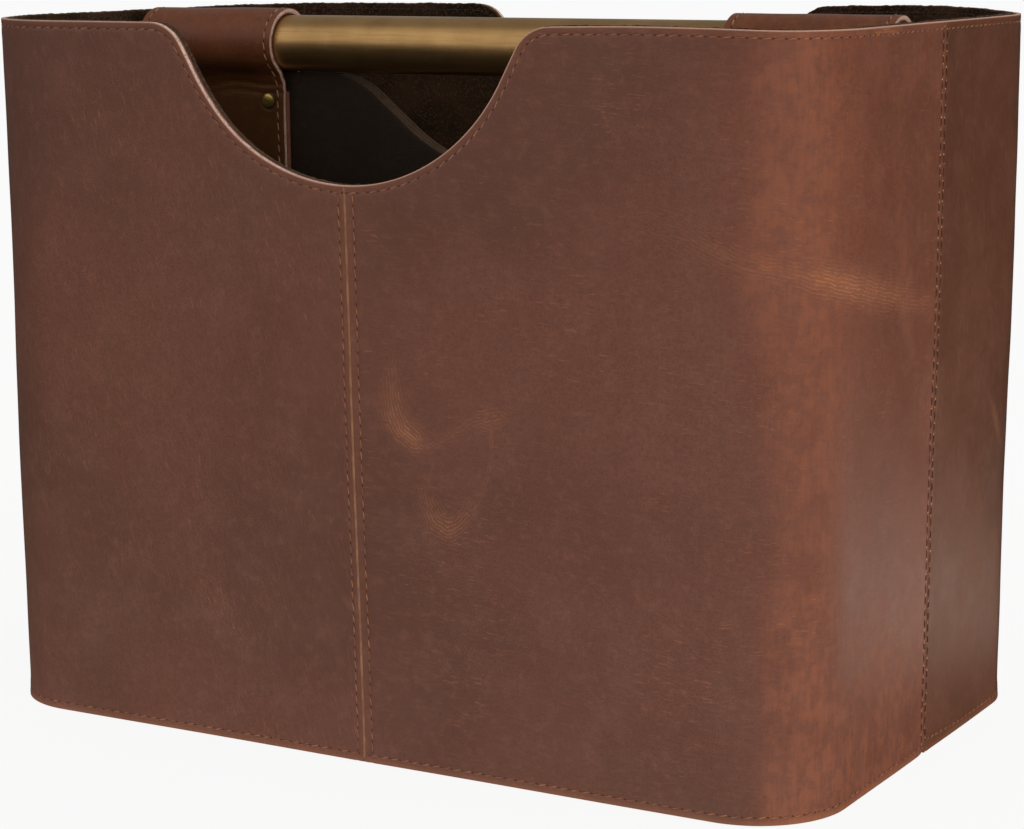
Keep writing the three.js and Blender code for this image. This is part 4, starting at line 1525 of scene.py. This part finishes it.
@dataclass
class Straps:
    """Two wide straps over the ends of the tube, with their pads, rivets and stitches."""

    sewing: Sewing
    form: HandleForm = HandleForm()
    width: float = 72.5
    outer_edge: float = 182.7
    row: float = 3.1
    groove: float = 0.24
    groove_width: float = 0.62
    pad: float = 2.4
    divider_half: float = 4.0
    rivet_in: float = 8.0
    rivet_drop: float = 4.0
    head: float = 3.3
    dome: float = 1.4

    def middle(self, side: int) -> float:
        """Where the middle of a strap lies along X."""
        return side * (self.outer_edge - self.width / 2.0)

    @cached_property
    def rivets(self) -> tuple[float, float]:
        """The ways across the strap at which the rivets sit."""
        reach = self.width / 2.0 - self.rivet_in
        return -reach, reach

    @cached_property
    def path(self) -> Line:
        """The strap's outer line over the tube: distances along it, and places as Y and Z."""
        half = self.form.side()
        line = np.concatenate([half * (-1.0, 1.0), half[-2::-1]]) + (self.form.plane, 0.0)
        return run_of(line), line

    def surface(self, x: Array, along: Array, side: int, seed: int) -> Line:
        """Places on the worked outer face of a strap, with their outward directions.

        Args:
            x: The ways across from the strap's middle.
            along: The distances along the strap.
            side: The sign of X.
            seed: Picks the strap's unevenness.

        Returns:
            Places and directions, one row for each distance.
        """
        reach, line = self.path
        y, z = (np.interp(along, reach, part) for part in line.T)
        tangent = unit(joined(np.gradient(y, along), np.gradient(z, along)))
        outward = joined(0.0, -tangent[:, 1], tangent[:, 0])[:, None]
        s = along[:, None]
        sidle = 0.35 * np.sin(s / 21.0 + seed) * smooth(np.abs(s - self.form.leaf) / 12.0)
        places = joined(self.middle(side) + x + sidle, y[:, None], z[:, None])
        return places + outward * self.relief(x, s, side, seed)[..., None], outward

    def relief(self, x: Array, s: Array, side: int, seed: int) -> Array:
        """Creases at the waist, the grooves of the stitch rows and the rivets' dents."""
        past = s - self.form.leaf
        shown = smooth((self.form.leaf * 2 + 110.0 - s) / 20.0)
        grooves = self.groove * bump(np.abs(x) - (self.width / 2.0 - self.row), self.groove_width) * shown
        wander = 1.4 * np.sin(x / 13.0 + seed) + 0.8 * np.sin(x / 5.3 + 2.0 * seed)
        fade = 0.55 + 0.45 * np.sin(x / 17.0 + 1.3 * seed)
        # Place, depth and width of each crease
        folds = ((-1.1, 0.30, 1.1), (2.7, 0.30, 1.0), (6.9, 0.20, 1.2), (12.0, 0.12, 1.4))
        creases = sum(depth * fade * bump(past - place - wander, width) for place, depth, width in folds)
        ridges = 0.20 * bump(past - 0.8 - wander, 1.3) + 0.14 * bump(past - 4.9 - wander, 1.4)
        dents = 0.0
        for rivet in self.rivets:
            away = np.hypot(x - rivet, past + self.rivet_drop) - self.head
            dents = dents + 0.30 * bump(away - 0.5, 0.75) - 0.08 * bump(away - 2.0, 0.8)
        points = joined(x + self.middle(side), s, 0.0)
        soft = 0.132 * ripple(points, ((62.0, 1.0), (27.0, 0.5)), 20 + seed) * smooth(np.abs(past) / 20.0)
        return ridges + soft - grooves - creases - dents

    def strap(self, name: str, side: int, seed: int) -> None:
        """Builds one strap.

        Args:
            name: Which strap.
            side: The sign of X.
            seed: Picks its unevenness.
        """
        half, waist, end = self.width / 2.0, self.form.leaf, self.path[0][-1]
        row = half - self.row
        x = both_ways(steps(
            (0.0, 22.5, 2.5), (22.5, row - 1.2, 0.6), (row - 1.2, row + 1.2, 0.4),
            (row + 1.2, half - 0.9, 0.6), (half - 0.9, half, 0.9),
        ))
        along = steps(
            (0.0, 0.9, 0.9), (0.9, 80.0, 3.0), (80.0, 100.0, 0.6), (100.0, waist + 60.0, 1.1),
            (waist + 60.0, end - waist, 1.6), (end - waist, end, 6.0),
        )
        s = along[:, None]
        past = s - waist
        # Painted light: the lit top of the loop is painted paler, and the front leaf, in the shade of the
        # tub, is painted darker and olive
        values = {
            "mark": 0.40 * bump(past - 2.0, 4.5) * (0.6 + 0.4 * np.sin(x / 9.0 + seed)), "across": s,
            "edge": bump(half - np.abs(x), 3.6),
            "bend": bump(past - 44.0, 26.0) - 3.0 * (1.0 - smooth((past - 2.0) / 30.0)),
        }
        flat = joined(x + 900.0 + 300.0 * seed, s)
        piece = sheet(f"strap_leather_{name}", self.surface(x, along, side, seed)[0], flat, values)
        make_up(piece, (Finish.STRAP, Finish.STRAP_EDGE), self.form.strap, (0.5, 3, 0))
        dress(piece, "strap_leather", f"strap_{name}")

    def rows(self, side: int, seed: int) -> list[Line]:
        """The stitch rows along both edges of a strap, as far as they can be seen."""
        along = np.linspace(3.0, self.path[0][-1] - self.form.leaf - 2.0, 600)
        reach = self.width / 2.0 - self.row
        places, outward = self.surface(np.array([-reach, reach]), along, side, seed)
        return [(places[:, k], outward[:, 0]) for k in (0, 1)]

    def pad_piece(self, name: str, side: int) -> None:
        """Builds the leather pad behind a strap's front leaf."""
        half = self.width / 2.0
        x = steps((-half, half, 5.0))
        z = steps((self.form.waist - self.form.leaf, self.form.waist, 5.0))[:, None]
        points = joined(self.middle(side) + x, -(self.divider_half + FIT + self.pad), z)
        piece = sheet(f"strap_pad_leather_{name}", points, joined(x, z))
        make_up(piece, (Finish.STRAP, Finish.PAD_EDGE), self.pad, (0.35, 2, 1))
        dress(piece, "strap_leather", f"strap_pad_{name}")

    def rivet(self, name: str, node: str, place: tuple[float, float, float], facing: int) -> None:
        """Builds one cap of a rivet, a spun dome with a rolled rim.

        Args:
            name: The name of the piece.
            node: The node that it stands for.
            place: Where its seat is, in millimetres.
            facing: The sign of Y that the dome points to.
        """
        r, top, brim, start = self.head, self.dome, 0.42, 0.16
        lathe = [(0.0, -3.0), (1.4, -3.0), (1.4, 0.0), (r - 0.5, 0.0), (r - 0.15, 0.05)]
        lathe += [(r, 0.25), (r - 0.05, 0.45)]
        for angle in np.linspace(start, QUARTER_TURN, 9)[:-1]:
            out = (r - 0.12) * math.cos(angle) / math.cos(start)
            lathe.append((out, brim + (top - brim) * math.sin(angle)))
        lathe.append((0.0, top))
        piece = set_turned(name, lathe, 40, Finish.RIVET, tilted(place, -facing * QUARTER_TURN, "X"))
        polish(piece, 50.0)
        dress(piece, "rivet_brass", node)

    def build(self) -> None:
        """Builds the straps, pads, rivets and stitches."""
        rivet_z = self.form.waist - self.rivet_drop
        front = self.form.plane - self.form.leaf_off - FIT + 0.25
        back = self.divider_half + FIT
        for seed, (name, side) in enumerate((("left", -1), ("right", 1))):
            self.strap(name, side, seed)
            self.pad_piece(name, side)
            rows = self.rows(side, seed)
            self.sewing.sew(f"stitches_strap_{name}", rows, sunk=-0.04, thread=Finish.PALE_THREAD_AND_GLINT)
            for across in self.rivets:
                x = self.middle(side) + across
                spot = f"{name}_{'inner' if across * side < 0 else 'outer'}"
                self.rivet(f"rivet_head_{spot}", f"rivet_cap_{spot}", (x, front, rivet_z), -1)
                self.rivet(f"rivet_tail_{spot}", f"rivet_back_{spot}", (x, back, rivet_z), 1)


@dataclass
class Handle:
    """The brass tube and the plugs in its ends."""

    form: HandleForm = HandleForm()
    wall: float = 1.5
    half: float = 180.7
    plug: float = 2.0
    chamfer: float = 0.4

    def lay(
        self, name: str, lathe: list, sides: int, reach: float, turn: float, angle: float, node: str
    ) -> None:
        """Builds a turned piece and lays it along the tube.

        Args:
            name: The name of the piece.
            lathe: Its profile.
            sides: How many sides it has around.
            reach: Where its foot lies along X.
            turn: The quarter turn that lays it down, with its sense as sign.
            angle: The angle up to which it is shaded smooth, in degrees.
            node: The node that it stands for.
        """
        matrix = tilted((reach, self.form.plane, self.form.level), turn, "Y")
        piece = set_turned(name, lathe, sides, Finish.TUBE, matrix)
        polish(piece, angle)
        dress(piece, "brushed_brass", node, body=HANDLE)

    def build(self) -> None:
        """Builds the tube and the plugs."""
        r, half, cut, plug = self.form.radius, self.half, self.chamfer, self.plug
        bore = r - self.wall
        lathe = [(bore, -half), (r - cut, -half)]
        lathe += [(r, float(h)) for h in np.linspace(-half + cut, half - cut, 60)]
        lathe += [(r - cut, half), (bore, half), (bore, -half)]
        self.lay("brass_tube", lathe, 128, 0.0, QUARTER_TURN, 30.0, "handle_bar")
        spigot = bore - FIT
        lathe = [
            (0.0, -9.0), (spigot, -9.0), (spigot, FIT), (r, FIT), (r, plug - 0.6), (r - 0.2, plug - 0.2),
            (r - 0.6, plug), (0.0, plug),
        ]
        for name, side in (("left", -1), ("right", 1)):
            turn = side * QUARTER_TURN
            self.lay(f"brass_plug_{name}", lathe, 64, side * half, turn, 50.0, f"bar_plug_{name}")


@dataclass
class Divider:
    """The divider: a board between two leather faces with flanges on the end walls."""

    sewing: Sewing
    straps: Straps
    face: float = 2.4
    half: float = 4.0
    flange: float = 20.0
    fold: float = 2.6
    foot: float = 7.9
    end_in: float = 6.0
    slot_gap: float = 1.0
    hole: CutOut = CutOut(rim=273.2, half=90.0, depth=40.0, bottom=75.0, shoulder=40.0)

    @property
    def slot(self) -> tuple[float, float]:
        """Where the slot for a strap starts and ends along X."""
        edge = self.straps.outer_edge
        return edge - self.straps.width - self.slot_gap, edge + self.slot_gap

    def end(self, z: Array) -> Array:
        """Where the shown side of a flange lies along X."""
        return TUB.half_length(z) - self.end_in - self.face

    def columns(self, last: float) -> Array:
        """The ways along the divider at which it has points, up to the last one."""
        seams = np.array([edge + off for edge in self.slot for off in (-0.05, 0.05)])
        inside = steps((0.0, 92.0, 1.5), (92.0, min(last, 183.0), 5.0))
        return np.unique(np.concatenate([inside, seams[seams < last]]))

    def slotted(self, x: Array, level: float, low: float) -> Array:
        """The top edge, lowered where the straps pass."""
        inner, outer = self.slot
        top = np.minimum(self.hole.height(x), level)
        return np.where((np.abs(x) > inner) & (np.abs(x) < outer), np.minimum(top, low), top)

    def leather(self, name: str, side: int) -> None:
        """Builds one leather face with its flanges.

        Args:
            name: Which face.
            side: The sign of Y.
        """
        top_end, arc = self.end(self.hole.rim), self.fold * QUARTER_TURN
        start = top_end - self.fold
        total = start + arc + self.flange - self.fold
        plain = self.columns(start - 2.0)
        beyond = steps((start, start + arc, 0.7), (start + arc, total, 2.0))
        across = both_ways(np.unique(np.concatenate([plain[plain < start - 0.2], beyond])))
        top = self.slotted(across, self.hole.rim, self.straps.form.waist if side > 0 else np.inf)
        shares = np.concatenate([np.linspace(0.0, 0.94, 46), steps((0.94, 1.0, 0.012))[1:]])
        z = self.foot + shares[:, None] * (top - self.foot)
        away = np.abs(across) + (self.end(z) - top_end) * smooth(np.abs(across) / total)
        begin = self.end(z) - self.fold
        turn = np.clip((away - begin) / self.fold, 0.0, QUARTER_TURN)
        x = np.minimum(away, begin) + self.fold * np.sin(turn)
        y = self.half + self.fold * (1.0 - np.cos(turn)) + np.clip(away - begin - arc, 0.0, None)
        points = joined(x * side_of(across), y * side, z)
        soft = 0.16 * ripple(points, ((120.0, 1.0), (48.0, 0.5)), 31 + side)
        points[..., 1] += side * soft * (1.0 - smooth((np.abs(across) - 95.0) / 12.0))
        flat = joined(across + 2500.0 + 600.0 * side, z)
        values = {"edge": bump(top - z, 5.0) * 0.6}
        piece = sheet(f"divider_leather_{name}", points, flat, values, turned=side > 0)
        near_hole = (0.45, 2, 1, lambda at: np.abs(at[:, 0]) < 105.0)
        make_up(piece, (Finish.DIVIDER, Finish.DIVIDER_EDGE), self.face, near_hole)
        dress(piece, "divider_leather", f"divider_face_{name}")

    def board(self) -> None:
        """Builds the board between the faces, stained like the edges it lies between."""
        form = self.straps.form
        x = both_ways(self.columns(self.straps.outer_edge - 0.1))
        top = self.slotted(x, self.hole.rim - 0.4, form.waist - form.leaf - FIT) - 0.15
        z = self.foot + np.linspace(0.0, 1.0, 12)[:, None] * (top - self.foot)
        piece = sheet("divider_core", joined(x, -form.strap / 2.0, z), joined(x, z))
        make_up(piece, (Finish.DIVIDER_EDGE,), form.strap, angle=30.0)
        dress(piece, "fibreboard", "divider_board")

    def flange_rows(self) -> list[Line]:
        """The stitch rows that hold the flanges to the end walls."""
        z = np.linspace(20.0, self.hole.rim - 4.0, 120)
        y = self.half + self.flange - 4.0
        corners = ((-1, -1), (-1, 1), (1, -1), (1, 1))
        return [(joined(sx * self.end(z), sy * y, z), joined(-float(sx), 0.0, 0.0 * z)) for sx, sy in corners]

    def build(self) -> None:
        """Builds the faces, the board and the flange stitches."""
        self.leather("front", -1)
        self.leather("back", 1)
        self.board()
        self.sewing.sew("stitches_flanges", self.flange_rows(), thread=Finish.THREAD_DARK)


@dataclass
class Stage:
    """The pale floor, the plain soft light and the camera of the photograph."""

    ambient: float = 0.61
    mirrored: float = 0.09
    key: float = 8.9
    bounce: float = 1.15
    pool: tuple[float, float, float] = (0.43, 0.21, 0.0)
    lens: float = 94.76
    place: tuple[float, float, float] = (0.5844, -1.0117, 0.3371)
    yaw: float = 29.95
    pitch: float = 10.27
    roll: float = -0.4

    def rays(self, m: Mixer) -> tuple[Wire, Wire, Wire]:
        """Whether a ray sees the backdrop directly, is a mirrored one or a scattered one."""
        kinds = ("Camera", "Transmission", "Glossy", "Diffuse")
        camera, through, glossy, diffuse = (m.add("LightPath", {}, f"Is {kind} Ray") for kind in kinds)
        return camera.to(Kind.LARGER, through), glossy, diffuse

    def floor(self) -> None:
        """Lays a wide pale floor, which keeps the basket's shadow."""
        deselect()
        bpy.ops.mesh.primitive_plane_add(size=60.0, location=(0.0, 0.0, -0.0004))
        floor = bpy.context.object
        floor.name = "floor"
        m = Mixer(bpy.data.materials.new("pale_matt_floor"))
        seen, glossy, diffuse = self.rays(m)
        paper = m.add("BsdfDiffuse", {"Color": "#f2f1ef"})
        glow = m.add("Emission", {"Color": "#ffffff", "Strength": 1.0})
        mixed = m.add("MixShader", {0: seen * 0.90, 1: paper, 2: glow})
        # The floor glows for reflections alone: a painted pool of light behind the basket's right end, and a
        # painted glow of the lit front
        away = m.place.to(Kind.DISTANCE, self.pool)
        ahead = m.place.to(Kind.FACING, (-0.5, -0.86, 0.0))
        gleam = away.to(Kind.RAMP, 0.12, 0.235, 1.60, 0.02) + ahead.to(Kind.RAMP, -0.1, 0.3, 0.0, 0.10)
        pool = m.add("Emission", {"Color": "#fff0df", "Strength": gleam})
        # The floor round the basket glows for scattered rays: painted bounce light up at the walls' feet
        near = m.place.to(Kind.DISTANCE, (0.12, -0.04, 0.0))
        near = near.to(Kind.RAMP, 0.40, 0.70, self.bounce, 0.0) * diffuse
        lit = m.add("AddShader", {0: mixed, 1: m.add("Emission", {"Strength": near})})
        m.add("OutputMaterial", {"Surface": m.add("MixShader", {0: glossy, 1: lit, 2: pool})})
        floor.data.materials.append(m.owner)

    def world(self) -> None:
        """Fills the room with even light in front of a white backdrop."""
        world = bpy.data.worlds.new("room")
        bpy.context.scene.world = world
        m = Mixer(world)
        seen, glossy, _ = self.rays(m)
        # The backdrop stands behind the basket, where reflections find it too, and a window
        # lies in front: direction, start and end of the gleam, and its strength
        gleams = (
            ((-0.5, 0.866, 0.0), 0.85, 1.0, 0.50), ((-0.42, 0.55, 0.72), 0.55, 0.95, 0.22),
            ((-0.49, -0.78, 0.39), 0.62, 0.96, 1.22),
        )
        way = m.add("TexCoord", {}, "Generated")
        wall, high, window = (way.to(Kind.FACING, axis).to(Kind.RISE, *gleam) for axis, *gleam in gleams)
        behind = wall.to(Kind.LARGER, high).to(Kind.LARGER, window)
        white = seen.to(Kind.LARGER, glossy * behind)
        dim = glossy * (self.mirrored - self.ambient) + self.ambient
        room = m.add("Background", {"Color": (1.0, 0.99, 0.975, 1.0), "Strength": dim})
        paper = m.add("Background", {"Color": "#ffffff", "Strength": 1.0})
        m.add("OutputWorld", {"Surface": m.add("MixShader", {0: white, 1: room, 2: paper})})

    def light(self) -> None:
        """Hangs one large soft box to the right of the camera, invisible to reflections."""
        deselect()
        bpy.ops.object.light_add(type="AREA", location=(0.0, 0.0, 2.0))
        box = bpy.context.object
        box.name = "soft_box"
        box.data.shape = "RECTANGLE"
        box.data.size, box.data.size_y = 1.2, 1.0
        box.data.energy = self.key
        box.visible_camera = box.visible_glossy = False
        box.location = (1.33, -0.46, 0.34)
        target = Vector((0.05, -0.09, 0.14))
        box.rotation_euler = (target - box.location).to_track_quat("-Z", "Y").to_euler()

    def camera(self) -> None:
        """Sets the camera that was fitted to the photograph's outline."""
        deselect()
        bpy.ops.object.camera_add(location=self.place)
        camera = bpy.context.object
        camera.name = "camera"
        camera.data.lens = self.lens
        camera.data.sensor_width = 36.0
        camera.data.clip_end = 100.0
        angles = ((self.yaw, "Z"), (90.0 - self.pitch, "X"), (self.roll, "Z"))
        yaw, pitch, roll = (Matrix.Rotation(math.radians(angle), 4, axis) for angle, axis in angles)
        camera.rotation_euler = (yaw @ pitch @ roll).to_euler()
        bpy.context.scene.camera = camera

    def build(self) -> None:
        """Sets the view transform, the floor, the world, the light and the camera."""
        bpy.context.scene.view_settings.view_transform = "Standard"
        self.floor()
        self.world()
        self.light()
        self.camera()


def main() -> None:
    """Builds the basket and its stage."""
    logging.basicConfig(level=logging.INFO, format="%(name)s: %(message)s")
    Stage().build()
    sewing = Sewing()
    straps = Straps(sewing)
    for part in (OuterWall(sewing), Lining(sewing), Bottom(), straps, Handle(), Divider(sewing, straps)):
        part.build()


if __name__ == "__main__":
    main()
